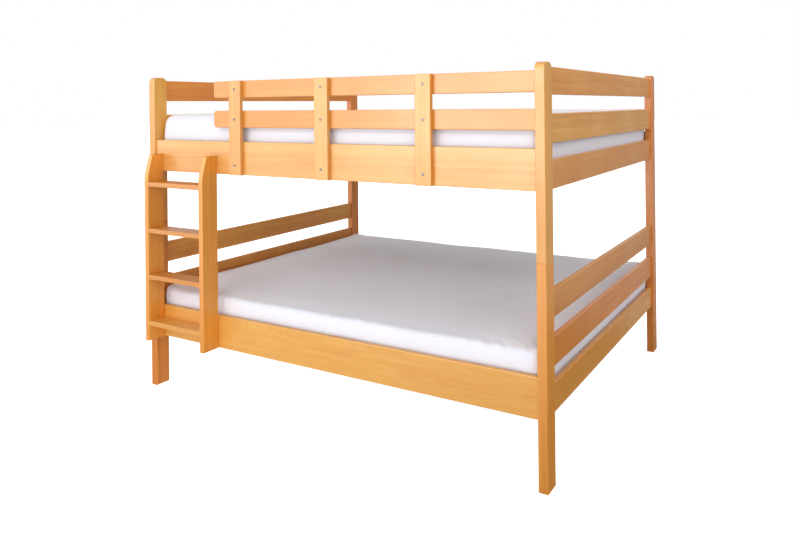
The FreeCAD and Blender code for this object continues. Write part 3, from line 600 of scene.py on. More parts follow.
@dataclass(frozen=True)
class Steel:
    """A finish of bright steel with fine marks of the tool."""

    name: str
    colour: Colour
    roughness: float

    def material(self) -> bpy.types.Material:
        """Makes the steel's material.

        Returns:
            The new material.
        """
        made, g, shader = new_material(self.name, Base_Color=self.colour, Metallic=1.0)
        spot = g.add("TexCoord").outputs["Object"]
        cover = Unevenness().place(g, {"Point": spot, "Blotch Scale": 90.0, "Ripple Scale": 2400.0})
        rough = g.math("MULTIPLY_ADD", cover["Blotch"], 0.16, self.roughness)
        g.feed(shader.inputs["Roughness"], rough)
        bump(g, shader, cover["Ripple"], 0.25, 0.00006)
        return made


HONEY = Wood(
    "honey_beech",
    pale=(0.72, 0.335, 0.062),
    middle=(0.65, 0.265, 0.036),
    deep=(0.50, 0.165, 0.016),
    end_grain=(0.40, 0.13, 0.018),
    ring_width=0.0065,
    figure=0.5,
    fleck=0.2,
    roughness=0.4,
    coat=0.3,
)
BARE = Wood(
    "bare_beech",
    pale=(0.68, 0.50, 0.31),
    middle=(0.60, 0.41, 0.235),
    deep=(0.46, 0.28, 0.14),
    end_grain=(0.42, 0.26, 0.14),
    ring_width=0.005,
    figure=0.8,
    fleck=0.35,
    roughness=0.62,
    coat=0.0,
)
COTTON = Cloth(
    "white_percale",
    colour=(0.80, 0.82, 0.90),
    shade=(0.735, 0.75, 0.84),
    thread_pitch=0.0007,
    relief=0.00035,
    sheen=0.15,
)
TICKING = Cloth(
    "foam_cover",
    colour=(0.80, 0.80, 0.80),
    shade=(0.66, 0.67, 0.70),
    thread_pitch=0.0016,
    relief=0.0006,
    sheen=0.2,
)
WEBBING = Cloth(
    "slat_webbing",
    colour=(0.74, 0.72, 0.66),
    shade=(0.55, 0.53, 0.47),
    thread_pitch=0.0012,
    relief=0.0007,
    sheen=0.2,
)
STEEL = Steel("bright_steel", (0.40, 0.385, 0.36), 0.3)
# Darkened steel for the guard's bolts and cap nuts: its darkness stands in for the dark surroundings they
# mirror, a painted dark reflection.
STEEL_PAINTED_DARK = Steel("steel_painted_dark", (0.15, 0.135, 0.12), 0.36)


def make_piece(name: str, points: np.ndarray, faces: list, body: str) -> bpy.types.Object:
    """Makes a smooth mesh piece that rides on a body.

    Args:
        name: The piece's name.
        points: Its points, one row each, in the row frame.
        faces: The corners of each face.
        body: The body that it moves with.

    Returns:
        The new piece.
    """
    mesh = bpy.data.meshes.new(name)
    mesh.from_pydata(points.tolist(), [], faces)
    mesh.polygons.foreach_set("use_smooth", [True] * len(mesh.polygons))
    mesh.update()
    piece = bpy.data.objects.new(name, mesh)
    bpy.context.scene.collection.objects.link(piece)
    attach(piece, body)
    return piece


def ring_faces(first: list[int], second: list[int]) -> list[tuple[int, int, int, int]]:
    """The faces between two closed rings of as many points, the second below the first."""
    count = len(first)
    return [(first[n], second[n], second[(n + 1) % count], first[(n + 1) % count]) for n in range(count)]


def add_ring(points: np.ndarray, rings: list[list[int]], faces: list, row: np.ndarray) -> np.ndarray:
    """Adds a closed ring below the last one, with the faces between the two.

    Args:
        points: The points so far.
        rings: The rings so far, to which the new one is added.
        faces: The faces so far, to which the new ones are added.
        row: The new ring's points.

    Returns:
        All the points.
    """
    rings.append(list(range(len(points), len(points) + len(row))))
    faces += ring_faces(rings[-2], rings[-1])
    return np.concatenate([points, row])


def positions(mesh: bpy.types.Mesh) -> np.ndarray:
    """Reads the places of a mesh's points.

    Args:
        mesh: The mesh.

    Returns:
        The places, one row each.
    """
    flat = np.empty(len(mesh.vertices) * 3)
    mesh.vertices.foreach_get("co", flat)
    return flat.reshape(-1, 3)


class Part:
    """A sub-assembly of the bed, built from the frame's own solids unless it makes its meshes anew."""

    def build(self) -> None:
        """Makes the part's new meshes: none, where the frame's solids already have the form."""

    def dress(self) -> None:
        """Gives the part its finishes."""
        raise NotImplementedError


@dataclass
class Berth(Part):
    """The posts, end boards and side rails of one berth."""

    name: str
    seed: float
    board_lamella: float = 0.054
    rail_lamella: float = 0.0507
    post_lamella: float = 0.09
    rail_figure: float = 0.5
    seed_step: float = 1.37

    def dress(self) -> None:
        """Gives each board lacquered wood of its own."""
        seed = self.seed
        for side in SIDES:
            for face in FACES:
                seed += self.seed_step
                HONEY.on_board(f"{self.name}_post_{face}_{side}", Lay.POST, self.post_lamella, seed)
            for row in ROWS:
                seed += self.seed_step
                HONEY.on_board(f"{self.name}_{side}_end_board_{row}", Lay.END_BOARD, self.board_lamella, seed)
        for face in FACES:
            seed += self.seed_step
            rail = f"{self.name}_side_rail_{face}"
            HONEY.on_board(rail, Lay.RAIL, self.rail_lamella, seed, figure=self.rail_figure)


@dataclass
class SlatBase(Part):
    """What carries a mattress: slats on webbing straps, cleats, the middle beam and their steel."""

    name: str
    body: str
    seed: float
    slat_width: float = 0.07
    slat_lamella: float = 10.0
    strap_sag: float = 0.0032
    strap_steps: int = 8
    strap_width: float = 0.03
    strap_round: float = 0.0004
    strap_shares: tuple[float, ...] = (0.0, 0.02, 0.5, 0.98, 1.0)

    def strap_line(self, low: float, high: float) -> list[tuple[float, float]]:
        """The line of a strap: level over each slat, sagging a little between two.

        Args:
            low: Where the first slat starts.
            high: Where the last slat ends.

        Returns:
            Places along the strap, and how far it hangs there.
        """
        pitch = (high - low - self.slat_width) / (SLATS - 1)
        gap = pitch - self.slat_width
        line = []
        for number in range(SLATS):
            start = low + pitch * number
            line += [(start, 0.0), (start + self.slat_width / 2, 0.0)]
            for step in range(self.strap_steps if number < SLATS - 1 else 0):
                share = step / self.strap_steps
                hang = self.strap_sag * math.sin(math.pi * share)
                line.append((start + self.slat_width + gap * share, hang))
        return line + [(high, 0.0)]

    def build(self) -> None:
        """Makes the two straps in the place of the frame's straight ones."""
        node = f"{self.name}_slat_tapes"
        low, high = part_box(node)
        thickness = high.z - low.z
        line = self.strap_line(low.x, high.x)
        round_about = [(share, 0.0, 1.0) for share in self.strap_shares]
        round_about += [(share, thickness, -1.0) for share in reversed(self.strap_shares)]
        count = len(round_about)
        points, faces = [], []
        for start in (low.y, high.y - self.strap_width):
            first = len(points)
            for place, hang in line:
                for share, below, sign in round_about:
                    edge = self.strap_round * sign if share in (0.0, 1.0) else 0.0
                    points.append((place, start + self.strap_width * share, high.z - below - hang - edge))
            rows = [[first + row * count + n for n in range(count)] for row in range(len(line))]
            for here, there in zip(rows, rows[1:]):
                faces += ring_faces(there, here)
            faces += [tuple(rows[0]), tuple(reversed(rows[-1]))]
        self.straps = make_piece(f"{self.name}_slat_straps", np.array(points), faces, self.body)
        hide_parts(node)

    def dress(self) -> None:
        """Gives the slats bare wood, the straps webbing, and the fittings steel."""
        low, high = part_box(f"{self.name}_slats")
        pitch = (high.x - low.x - self.slat_width) / (SLATS - 1)
        BARE.on_board(f"{self.name}_slats", Lay.SLAT, self.slat_lamella, self.seed, pitch)
        BARE.on_board(f"{self.name}_centre_beam", Lay.STEP, UNGLUED, self.seed + 1.1)
        for number, face in enumerate(FACES):
            BARE.on_board(f"{self.name}_cleat_{face}", Lay.RAIL, UNGLUED, self.seed + 2.3 + number)
        assign(self.straps, WEBBING.material())
        steel = STEEL.material()
        for part in ("beam_brackets", "wood_screws", "rail_studs", "rail_nuts"):
            assign(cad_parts[f"{self.name}_{part}"], steel)


@dataclass
class Bedding(Part):
    """A foam mattress in its cover, and the white fitted sheet drawn over it."""

    name: str
    body: str
    seed: int
    edge_round: float
    slack: float
    rise: float
    gathered: float
    corner: float = 0.034
    bottom_round: float = 0.009
    tuck: float = 0.085
    inset: float = 0.003
    spread_x: float = 0.0125
    spread_y: float = 0.0035
    bulge: float = 0.003
    crown: float = 0.008
    fine: float = 0.011
    fine_reach: float = 0.3
    coarse: float = 0.019
    growth: float = 1.12
    edge_steps: int = 7
    side_steps: int = 13
    bottom_steps: int = 5
    tuck_steps: int = 7
    waviness: float = 0.0016
    ridge_height: float = 0.0016
    side_waviness: float = 0.0009
    puckers: float = 0.004
    pucker_pitch: float = 0.062
    pucker_reach: float = 0.03
    drawn: float = 0.0034
    fan_creases: int = 5
    gather_pitches: tuple[float, float] = (0.045, 0.03)
    gather_reaches: tuple[float, float] = (0.3, 0.1)
    hem_sides: int = 6
    hem_half_width: float = 0.004
    hem_half_height: float = 0.0014
    hem_height: float = 0.0016
    hem_gather: float = 0.0012
    cut_from_corner: float = 0.9
    foam_inset: float = 0.014
    most_in: float = 0.0085
    out_on_sides: float = 0.002
    out_on_top: float = 0.006
    frames: int = 22
    cap: float = 0.0065
    slack_on_top: float = 0.22
    slack_on_sides: float = 0.3
    slack_at_corners: float = 0.7
    slack_reach: float = 0.22

    def build(self) -> None:
        """Makes the foam, its sheet and the sheet's hem."""
        self.low, self.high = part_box(f"{self.name}_mattress")
        self.rng = np.random.default_rng(self.seed)
        self.build_foam()
        self.build_sheet()
        self.build_hem()

    def lattice(self, half: float, edge: float) -> np.ndarray:
        """Places along one side, close together near both ends.

        Args:
            half: Half the side's length.
            edge: The radius of the rounded edge.

        Returns:
            The places from -half to half.
        """
        steps = [edge * (1 - math.cos(angle)) for angle in np.linspace(0, math.pi / 2, self.edge_steps)]
        gap = self.fine
        while steps[-1] + gap < half - self.coarse * 0.6:
            steps.append(steps[-1] + gap)
            if steps[-1] > self.fine_reach:
                gap = min(gap * self.growth, self.coarse)
        inner = np.array(steps)
        return np.concatenate([inner - half, [0.0], (half - inner)[::-1]])

    def shell(self, inset: float, edge: float, rise: float) -> tuple[np.ndarray, list, list[list[int]]]:
        """The top of a soft block and its sides.

        Args:
            inset: How far it lies within the frame's mattress.
            edge: The radius of its upper edge.
            rise: How far its middle rises.

        Returns:
            The points, the faces and the rings of the sides from the upper edge down.
        """
        half_x = (self.high.x - self.low.x) / 2 + self.spread_x - inset
        half_y = (self.high.y - self.low.y) / 2 + self.spread_y - inset
        xs = self.lattice(half_x, edge)
        ys = self.lattice(half_y, edge)
        grid_x, grid_y = np.meshgrid(xs, ys, indexing="ij")
        to_edge = np.minimum(half_x - np.abs(grid_x), half_y - np.abs(grid_y))
        over_x = np.clip((np.abs(grid_x) - half_x + self.corner) / self.corner, 0, 1)
        over_y = np.clip((np.abs(grid_y) - half_y + self.corner) / self.corner, 0, 1)
        reach = np.maximum(over_x, over_y)
        length = np.maximum(np.hypot(over_x, over_y), 1e-9)
        in_corner = (over_x > 0) & (over_y > 0)
        pull = np.where(in_corner, reach / length, 1.0)
        flat_x = np.sign(grid_x) * (np.abs(grid_x) - over_x * self.corner * (1 - pull))
        flat_y = np.sign(grid_y) * (np.abs(grid_y) - over_y * self.corner * (1 - pull))
        drop = edge - np.sqrt(np.maximum(edge**2 - np.maximum(edge - to_edge, 0) ** 2, 0))
        swell = rise * (1 - (grid_x / half_x) ** 4) * (1 - (grid_y / half_y) ** 4)
        top = self.high.z - self.crown - inset
        heights = top - drop + swell
        points = np.stack([flat_x, flat_y, heights], -1).reshape(-1, 3)
        rows, columns = grid_x.shape
        index = np.arange(rows * columns).reshape(rows, columns)
        faces = []
        for i in range(rows - 1):
            for j in range(columns - 1):
                faces.append((index[i, j], index[i + 1, j], index[i + 1, j + 1], index[i, j + 1]))
        loop = [*index[:, 0], *index[-1, 1:], *index[-2::-1, -1], *index[0, -2:0:-1]]
        outline = points[loop]
        bottom = self.low.z + inset * 0.4
        down = bottom + self.bottom_round - top + edge
        profile = [(-self.bulge * math.sin(math.pi * share), top - edge + down * share)
                   for share in np.linspace(0, 1, self.side_steps)[1:]]
        for angle in np.linspace(0, math.pi / 2, self.bottom_steps)[1:]:
            pull_in = self.bottom_round * (1 - math.cos(angle))
            profile.append((pull_in, bottom + self.bottom_round * (1 - math.sin(angle))))
        rings = [list(loop)]
        for pull_in, height in profile:
            scale = np.array([(half_x - pull_in) / half_x, (half_y - pull_in) / half_y])
            row = np.column_stack([outline[:, :2] * scale, np.full(len(outline), height)])
            points = add_ring(points, rings, faces, row)
        return points, faces, rings

    def centred(self, points: np.ndarray) -> np.ndarray:
        """Moves points from the mattress's own middle to the row frame."""
        middle = (self.low + self.high) / 2
        return points + np.array([middle.x, middle.y, 0.0])

    def build_foam(self) -> None:
        """Makes the foam in its cover, closed below."""
        points, faces, rings = self.shell(self.foam_inset, self.edge_round * 0.9, self.rise * 0.7)
        last = rings[-1]
        for share in (0.97, 0.88, 0.72, 0.5, 0.25):
            points = add_ring(points, rings, faces, points[last] * np.array([share, share, 1.0]))
        faces.append(tuple(reversed(rings[-1])))
        name = f"{self.name}_foam"
        self.foam = make_piece(name, self.centred(points), faces, self.body)
        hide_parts(f"{self.name}_mattress")

    def build_sheet(self) -> None:
        """Makes the fitted sheet: formed over the foam, creased, and settled as cloth."""
        points, faces, rings = self.shell(self.inset, self.edge_round, self.rise)
        under = rings[-1]
        half_x, half_y = np.abs(points[:, 0]).max(), np.abs(points[:, 1]).max()
        low_x, low_y = half_x - self.bottom_round, half_y - self.bottom_round
        for step in np.linspace(0, 1, self.tuck_steps)[1:]:
            pull_in = self.tuck * step
            scale = np.array([(low_x - pull_in) / low_x, (low_y - pull_in) / low_y, 1.0])
            points = add_ring(points, rings, faces, points[under] * scale)
        self.hem_line = rings[-1]
        name = f"{self.name}_sheet"
        self.sheet = make_piece(name, self.centred(points), faces, self.body)
        self.crease(points, half_x, half_y)
        self.settle(points, half_x, half_y)
        smooth = self.sheet.modifiers.new("finer_cloth", "SUBSURF")
        smooth.levels = smooth.render_levels = 1

    def crease(self, points: np.ndarray, half_x: float, half_y: float) -> None:
        """Lays soft creases in the sheet.

        Args:
            points: The sheet's points about the mattress's own middle.
            half_x: Half the sheet's length.
            half_y: Half the sheet's width.
        """
        mesh = self.sheet.data
        normals = np.empty(len(points) * 3)
        mesh.vertices.foreach_get("normal", normals)
        normals = normals.reshape(-1, 3)
        flat = points[:, :2]
        top = np.clip((normals[:, 2] - 0.3) / 0.6, 0, 1)
        side = 1 - np.clip(np.abs(normals[:, 2]) / 0.7, 0, 1)
        shift = self.waviness * self.waves(flat, 0.6, 5) * top
        shift += self.ridge_height * self.ridges(flat, 0.42, 4) * top
        upright = np.column_stack([flat.sum(1) * 0.8, points[:, 2] * 4.0])
        shift += self.side_waviness * self.waves(upright, 0.35, 5) * side
        shift += self.puckers * self.pucker(flat[:, 0], half_y + flat[:, 1]) * top
        on_end = np.abs(normals[:, 0]) > np.abs(normals[:, 1])
        for sign_x in (-1, 1):
            for sign_y in (-1, 1):
                away_x = half_x - sign_x * flat[:, 0]
                away_y = half_y - sign_y * flat[:, 1]
                far = np.hypot(away_x, away_y)
                shift += self.drawn * self.fan(np.arctan2(away_y, away_x), far) * top
                around = np.where(on_end, away_y, -away_x)
                shift += self.gathered * self.gathers(around, points[:, 2], on_end) * side
        self.formed = self.centred(points)
        self.outward = normals
        self.most_out = np.where(side > 0, self.out_on_sides, self.out_on_top)
        self.put(self.formed + normals * shift[:, None])

    def put(self, places: np.ndarray) -> None:
        """Moves the sheet's points, but none into the foam or against the boards beside it.

        Args:
            places: Where they should go.
        """
        out = ((places - self.formed) * self.outward).sum(axis=1)
        allowed = np.clip(out, -self.most_in, self.most_out)
        places = places + self.outward * (allowed - out)[:, None]
        self.sheet.data.vertices.foreach_set("co", places.ravel())
        self.sheet.data.update()

    def pucker(self, along: np.ndarray, away: np.ndarray) -> np.ndarray:
        """Small puckers of the top beside its long front edge.

        Args:
            along: The place of each point along the edge.
            away: Its distance from the edge.

        Returns:
            Their height at each point, about -1 to 1.
        """
        uneven = along + 0.012 * np.sin(along * 23 + self.rng.uniform(0, TURN)) + 0.3 * away
        strength = 0.6 + 0.4 * np.sin(along * 9 + self.rng.uniform(0, TURN))
        beside = np.exp(-(((away - self.pucker_reach / 2) / self.pucker_reach) ** 2))
        return np.sin(uneven * TURN / self.pucker_pitch) * strength * beside

    def fan(self, angle: np.ndarray, far: np.ndarray) -> np.ndarray:
        """Creases that spread over the top from a corner where the sheet is drawn tight.

        Args:
            angle: The direction of each point as seen from the corner.
            far: Its distance from the corner.

        Returns:
            Their height at each point, about 0 to 1.
        """
        total = np.zeros(len(far))
        count = self.fan_creases
        for middle in np.linspace(0.3, 1.27, count) + self.rng.uniform(-0.07, 0.07, count):
            length = self.rng.uniform(0.2, 0.5)
            width = self.rng.uniform(0.035, 0.06)
            bend = 0.05 * np.sin(far * 7 + self.rng.uniform(0, TURN))
            ridge = np.exp(-(((angle - middle - bend) * np.maximum(far, 0.05) / (width * 0.35)) ** 2))
            total += ridge * np.clip(far / 0.07, 0, 1) * np.exp(-((far / length) ** 2))
        return total

    def gathers(self, around: np.ndarray, height: np.ndarray, on_end: np.ndarray) -> np.ndarray:
        """Upright gathers of the sides near a corner, deeper towards the hem.

        Args:
            around: The distance of each point from the corner along the side.
            height: Its height.
            on_end: Whether it lies on an end rather than a long side.

        Returns:
            Their height at each point, -1 to 0.
        """
        pitch = np.where(on_end, *self.gather_pitches)
        reach = np.where(on_end, *self.gather_reaches)
        depth = np.clip((self.high.z - 0.01 - height) / (self.high.z - self.low.z), 0, 1)
        uneven = around + 0.011 * np.sin(around * 31 + self.rng.uniform(0, TURN))
        uneven += 0.02 * depth * np.sin(around * 17)
        valleys = np.abs(np.sin(uneven / pitch * math.pi + self.rng.uniform(0, TURN / 2))) ** 0.6 - 1
        return valleys * np.exp(-((around / reach) ** 2)) * depth ** 0.7

    def waves(self, places: np.ndarray, length: float, count: int) -> np.ndarray:
        """A sum of waves in chance directions.

        Args:
            places: Where it is wanted, two numbers each.
            length: The waves' mean length.
            count: How many there are.

        Returns:
            The sum at each place, about -1 to 1.
        """
        total = np.zeros(len(places))
        for _ in range(count):
            angle = self.rng.uniform(0, math.pi)
            pitch = length * self.rng.uniform(0.6, 1.5)
            phase = self.rng.uniform(0, TURN)
            along = places @ np.array([math.cos(angle), math.sin(angle)])
            total += np.sin(along * TURN / pitch + phase)
        return total / math.sqrt(count)

    def ridges(self, places: np.ndarray, length: float, count: int) -> np.ndarray:
        """Narrow soft ridges where a sum of waves crosses zero, with stretches where they fade away.

        Args:
            places: Where they are wanted, two numbers each.
            length: The waves' mean length.
            count: How many waves there are.

        Returns:
            The ridges' height at each place, about 0 to 1.
        """
        field = self.waves(places, length, count)
        fade = np.clip(self.waves(places, length * 2.1, 3), 0, 1)
        return np.exp(-((field / 0.16) ** 2)) * fade

    def settle(self, points: np.ndarray, half_x: float, half_y: float) -> None:
        """Lets the sheet buckle where it has slack, held at its hem.

        Args:
            points: The sheet's points about the mattress's own middle, before its creases.
            half_x: Half the sheet's length.
            half_y: Half the sheet's width.
        """
        start = positions(self.sheet.data)
        below = points[:, 2] < self.low.z + self.bottom_round
        held = np.where(below, 1.0, 0.0)
        far = np.hypot(half_x - np.abs(points[:, 0]), half_y - np.abs(points[:, 1]))
        top = points[:, 2] > self.high.z - self.edge_round
        slack = np.where(top, self.slack_on_top, self.slack_on_sides)
        slack = slack + self.slack_at_corners * np.exp(-((far / self.slack_reach) ** 2))
        for name, weights in (("held", held), ("slack", slack)):
            group = self.sheet.vertex_groups.new(name=name)
            for weight in np.unique(np.round(weights, 2)):
                chosen = np.nonzero(np.round(weights, 2) == weight)[0].tolist()
                group.add(chosen, float(weight), "REPLACE")
        modifier = self.sheet.modifiers.new("settling", "CLOTH")
        cloth = modifier.settings
        cloth.quality = 4
        cloth.mass = 0.2
        cloth.tension_stiffness = cloth.compression_stiffness = 12.0
        cloth.shear_stiffness = 4.0
        cloth.bending_stiffness = 0.35
        cloth.vertex_group_mass = "held"
        cloth.vertex_group_shrink = "slack"
        cloth.shrink_min = 0.0
        cloth.shrink_max = -self.slack
        cloth.use_pressure = True
        cloth.uniform_pressure_force = 1.2
        cloth.effector_weights.gravity = 0.0
        modifier.collision_settings.use_collision = False
        scene = bpy.context.scene
        for number in range(1, self.frames + 1):
            scene.frame_set(number)
        depsgraph = bpy.context.evaluated_depsgraph_get()
        settled = positions(self.sheet.evaluated_get(depsgraph).data)
        self.sheet.modifiers.remove(modifier)
        self.sheet.vertex_groups.clear()
        scene.frame_set(1)
        move = settled - start
        length = np.maximum(np.linalg.norm(move, axis=1), 1e-9)
        move *= (self.cap * np.tanh(length / self.cap) / length)[:, None]
        self.put(start + move)
        log.info("%s_sheet settled: most %.4f m, mean %.4f m", self.name, length.max(), length.mean())

    def build_hem(self) -> None:
        """Makes the gathered elastic hem under the mattress."""
        line = positions(self.sheet.data)[self.hem_line]
        count = len(line)
        middle = line.mean(axis=0)
        points, rings = [], []
        for number, place in enumerate(line):
            inward = middle - place
            inward[2] = 0
            inward /= np.linalg.norm(inward)
            gather = self.hem_gather * math.sin(number * 1.9)
            rings.append(list(range(len(points), len(points) + self.hem_sides)))
            for corner in range(self.hem_sides):
                angle = corner * math.pi / (self.hem_sides / 2)
                side = self.hem_half_width * math.cos(angle) + gather
                up = self.hem_height + self.hem_half_height * math.sin(angle)
                points.append(place + inward * side + np.array([0, 0, up]))
        faces = []
        for number in range(count):
            faces += ring_faces(rings[(number + 1) % count], rings[number])
        hem = make_piece(f"{self.name}_sheet_hem", np.array(points), faces, self.body)
        self.hem = hem

    def dress(self) -> None:
        """Gives the sheet white cotton and the foam its cover."""
        cotton = COTTON.material()
        assign(self.sheet, cotton)
        assign(self.hem, cotton)
        assign(self.foam, TICKING.material())


@dataclass
class Guards(Part):
    """The boards that keep a sleeper on the upper berth, with battens and bolts."""

    seed: float = 40.0
    lamella: float = 0.039
    back_lamella: float = 0.054

    def dress(self) -> None:
        """Gives the boards lacquered wood and the bolts steel."""
        HONEY.on_board("upper_guard_board_middle", Lay.RAIL, self.lamella, self.seed)
        HONEY.on_board("upper_guard_board_top", Lay.RAIL, self.lamella, self.seed + 1.7)
        HONEY.on_board("upper_back_guard_board", Lay.RAIL, self.back_lamella, self.seed + 3.1)
        for number, name in enumerate(("left", "middle", "right")):
            HONEY.on_board(f"upper_guard_batten_{name}", Lay.BATTEN, UNGLUED, self.seed + 5.3 + number * 1.9)
        # The dark steel of the bolts and cap nuts is a painted dark reflection.
        steel = STEEL_PAINTED_DARK.material()
        for node in ("upper_batten_bolts", "upper_batten_cap_nuts"):
            assign(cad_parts[node], steel)
        BARE.on_board("post_pins", Lay.POST, UNGLUED, self.seed + 12.0)


@dataclass
class Ladder(Part):
    """The two stiles and the steps, with their screws."""

    seed: float = 60.0
    step_lamella: float = 0.0435

    def dress(self) -> None:
        """Gives the boards lacquered wood and the screws steel."""
        for number, side in enumerate(SIDES):
            HONEY.on_board(f"ladder_stile_{side}", Lay.POST, UNGLUED, self.seed + number * 2.1)
        for number in range(1, STEPS + 1):
            seed = self.seed + 6.0 + number * 1.3
            HONEY.on_board(f"ladder_step_{number}", Lay.STEP, self.step_lamella, seed)
        assign(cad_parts["ladder_screws"], STEEL.material())


class Use(Enum):
    """What a lamp is for: to light things evenly, or to be mirrored by lacquer and steel."""

    LIGHT = "light"
    GLEAM = "gleam"


@dataclass(frozen=True)
class Lamp:
    """A soft rectangular lamp: its bearing from straight ahead of the bed, towards the right."""

    name: str
    use: Use
    azimuth: float
    height: float
    width: float
    tall: float
    radiance: float
    distance: float = 5.0


LAMPS = (
    Lamp("strip", Use.LIGHT, 0.0, 3.56, 4.4, 0.4, 7.8),
    Lamp("strip_above", Use.LIGHT, 0.0, 4.6, 4.4, 0.6, 1.1),
    Lamp("front_low", Use.LIGHT, 0.0, 0.8, 4.0, 1.3, 2.4),
    Lamp("right_high", Use.LIGHT, 45.0, 3.2, 1.8, 1.3, 5.0),
    Lamp("right_side", Use.LIGHT, 90.0, 2.0, 1.8, 2.6, 2.3),
    Lamp("left_side", Use.LIGHT, -90.0, 2.0, 1.8, 2.6, 1.7),
    Lamp("back_left", Use.LIGHT, -135.0, 2.0, 1.8, 2.6, 1.2),
    Lamp("above_left", Use.LIGHT, -90.0, 4.5, 1.5, 2.0, 1.9, 2.5),
    Lamp("above_right", Use.LIGHT, 90.0, 4.5, 1.5, 2.0, 2.1, 2.5),
    Lamp("gleam_ahead", Use.GLEAM, -12.5, 1.6, 2.6, 2.2, 6.9),
    Lamp("gleam_left", Use.GLEAM, -42.0, 1.6, 2.6, 2.2, 1.0),
    Lamp("gleam_right", Use.GLEAM, 10.0, 1.6, 1.3, 2.2, 1.6),
    Lamp("gleam_far_right", Use.GLEAM, 32.0, 1.6, 2.6, 2.2, 1.3),
)


class Rise(NamedTuple):
    """A smooth change of brightness over the floor: where it starts and ends, and its value at each."""

    start: float
    end: float
    first: float
    last: float


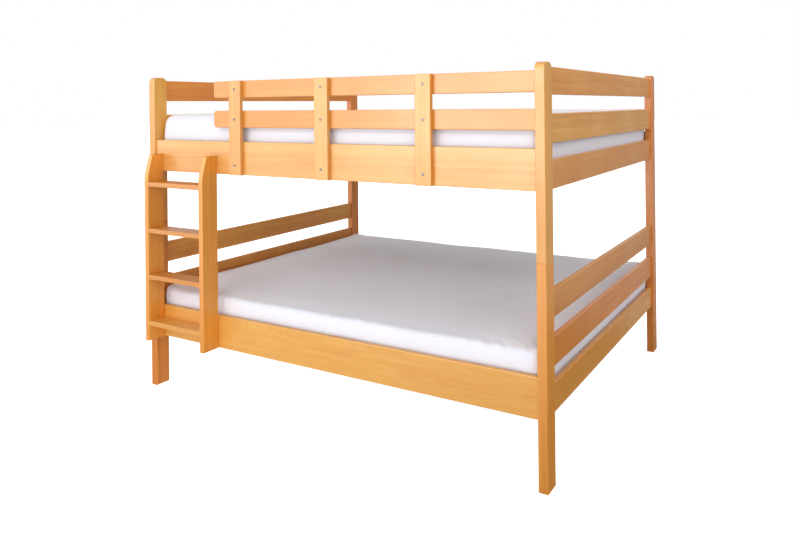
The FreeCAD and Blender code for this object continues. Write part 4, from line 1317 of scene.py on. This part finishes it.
@dataclass
class Studio:
    """The camera, the pale floor and the soft lights."""

    image_width: float = 800.0
    image_height: float = 533.0
    focal_pixels: float = 696.72
    axis_x: float = 446.05
    axis_y: float = 104.78
    place: Place = (1.9470, -3.0987, 1.3750)
    yaw: float = 0.5130
    pitch: float = 0.0006
    roll: float = -0.0101
    sensor: float = 36.0
    floor_reach: float = 60.0
    floor_corners: int = 96
    floor_tone: float = 0.9
    floor_glow: float = 0.8
    # These set the floor's glow for diffuse and glossy rays: painted bounce light and painted reflection,
    # with painted shade under the bed.
    to_lamps: tuple[float, float] = (-0.6, -0.8)
    painted_bounce: Rise = Rise(-0.2, 1.2, 0.3, 1.2)
    painted_mirror_front: Rise = Rise(-0.9, -3.0, 0.1, 1.8)
    painted_mirror_back: Rise = Rise(0.6, 1.6, -0.05, 0.34)
    aim: Place = (0.0, -0.3, 0.8)
    sky: float = 0.62
    sky_mirrored_front: float = 5.0
    sky_mirrored_back: float = 0.42
    sky_mirrored_above: float = 1.8

    def build(self) -> None:
        """Sets up the camera, the floor, the sky and the lights."""
        self.make_camera()
        self.make_floor()
        self.make_sky()
        for lamp in LAMPS:
            self.hang(lamp)
        bpy.context.scene.view_settings.view_transform = "Standard"

    def make_camera(self) -> None:
        """Makes the camera at the photograph's angle."""
        data = bpy.data.cameras.new("camera")
        data.sensor_width = self.sensor
        data.lens = self.focal_pixels / self.image_width * self.sensor
        data.shift_x = (self.image_width / 2 - self.axis_x) / self.image_width
        data.shift_y = (self.axis_y - self.image_height / 2) / self.image_width
        camera = bpy.data.objects.new("camera", data)
        forward = Vector((-math.sin(self.yaw) * math.cos(self.pitch),
                          math.cos(self.yaw) * math.cos(self.pitch), math.sin(self.pitch)))
        right = Vector((math.cos(self.yaw), math.sin(self.yaw), 0.0))
        up = right.cross(forward)
        tilted = right * math.cos(self.roll) + up * math.sin(self.roll)
        upright = up * math.cos(self.roll) - right * math.sin(self.roll)
        axes = Matrix((tilted, upright, -forward)).transposed()
        camera.matrix_world = Matrix.Translation(self.place) @ axes.to_4x4()
        bpy.context.scene.collection.objects.link(camera)
        bpy.context.scene.camera = camera

    def make_floor(self) -> None:
        """Lays a wide plain floor: evenly white to the camera, and glowing for other rays as painted bounce
        light and painted reflection, stronger near the lamps and weaker under the bed as painted shade.
        """
        angles = [math.tau * number / self.floor_corners for number in range(self.floor_corners)]
        reach = self.floor_reach
        rim = [(reach * math.cos(angle), reach * math.sin(angle), 0.0) for angle in angles]
        mesh = bpy.data.meshes.new("floor")
        mesh.from_pydata(rim, [], [tuple(range(self.floor_corners))])
        floor = bpy.data.objects.new("floor", mesh)
        bpy.context.scene.collection.objects.link(floor)
        tone = self.floor_tone
        material, graph, shader = new_material("pale_floor", Roughness=0.9, Specular_IOR_Level=0.1)
        graph.feed(shader.inputs["Emission Color"], (1.0, 1.0, 1.0, 1.0))
        path = graph.add("LightPath").outputs
        seen = path["Is Camera Ray"]
        graph.feed(shader.inputs["Base Color"], graph.mix(seen, (0.0, 0.0, 0.0), (tone, tone, tone)))
        # For diffuse and glossy rays the floor is black and glows: painted bounce light, stronger towards the
        # lamps and weaker under the bed as painted shade, and a painted reflection that changes along y.
        x, y, _ = graph.parts(graph.add("TexCoord").outputs["Object"])
        nearness = graph.math("MULTIPLY", y, self.to_lamps[1])
        nearness = graph.math("MULTIPLY_ADD", x, self.to_lamps[0], nearness)
        painted_bounce = graph.between(nearness, *self.painted_bounce)
        mirrored = graph.between(y, *self.painted_mirror_front)
        mirrored = graph.math("ADD", mirrored, graph.between(y, *self.painted_mirror_back))
        glow = graph.math("MULTIPLY", seen, self.floor_glow)
        glow = graph.math("MULTIPLY_ADD", path["Is Diffuse Ray"], painted_bounce, glow)
        glow = graph.math("MULTIPLY_ADD", path["Is Glossy Ray"], mirrored, glow)
        graph.feed(shader.inputs["Emission Strength"], glow)
        assign(floor, material)

    def make_sky(self) -> None:
        """Surrounds the scene with soft white light; lacquer and steel mirror it mostly from the front."""
        world = bpy.data.worlds.new("studio")
        world.use_nodes = True
        graph = Graph(world.node_tree)
        background = world.node_tree.nodes["Background"]
        graph.feed(background.inputs["Color"], (1.0, 1.0, 1.0, 1.0))
        _, back, above = graph.parts(graph.add("TexCoord").outputs["Generated"])
        front = graph.math("MULTIPLY", back, -1.0)
        path = graph.add("LightPath").outputs
        mirrored = 0.0
        for towards, gain in ((back, self.sky_mirrored_back), (above, self.sky_mirrored_above),
                              (front, self.sky_mirrored_front)):
            mirrored = graph.math("MULTIPLY_ADD", graph.math("MAXIMUM", towards, 0.0), gain, mirrored)
        strength = graph.add("Mix", {0: path["Is Glossy Ray"], 2: self.sky, 3: mirrored}).outputs[0]
        strength = graph.add("Mix", {0: path["Is Camera Ray"], 2: strength, 3: 1.0}).outputs[0]
        graph.feed(background.inputs["Strength"], strength)
        bpy.context.scene.world = world

    def hang(self, lamp: Lamp) -> None:
        """Hangs a soft lamp, turned to the bed.

        Args:
            lamp: What lamp it is and where it hangs.
        """
        turn = math.radians(lamp.azimuth)
        place = Vector((lamp.distance * math.sin(turn), -lamp.distance * math.cos(turn), lamp.height))
        data = bpy.data.lights.new(lamp.name, "AREA")
        data.shape = "RECTANGLE"
        data.size = lamp.width
        data.size_y = lamp.tall
        data.energy = lamp.radiance * math.pi * lamp.width * lamp.tall
        light = bpy.data.objects.new(lamp.name, data)
        light.location = place
        light.rotation_euler = (Vector(self.aim) - place).to_track_quat("-Z", "Y").to_euler()
        light.visible_camera = False
        light.visible_diffuse = lamp.use is Use.LIGHT
        light.visible_glossy = lamp.use is Use.GLEAM
        bpy.context.scene.collection.objects.link(light)


def main() -> None:
    """Builds and dresses the bed, part by part."""
    logging.basicConfig(level=logging.INFO, format="%(message)s")
    Studio().build()
    parts: list[Part] = [
        Berth("lower", 3.0, rail_figure=1.2),
        Berth("upper", 21.0),
        SlatBase("lower", "root", 70.0),
        SlatBase("upper", "upper_bed", 80.0),
        Guards(),
        Ladder(),
        Bedding("lower", "lower_mattress", 11, edge_round=0.02, slack=0.03, rise=0.006, gathered=0.002),
        Bedding("upper", "upper_mattress", 12, edge_round=0.045, slack=0.045, rise=0.001, gathered=0.008),
    ]
    for part in parts:
        part.build()
        part.dress()
        log.info("%s %s is in place", type(part).__name__, getattr(part, "name", ""))


if __name__ == "__main__":
    main()
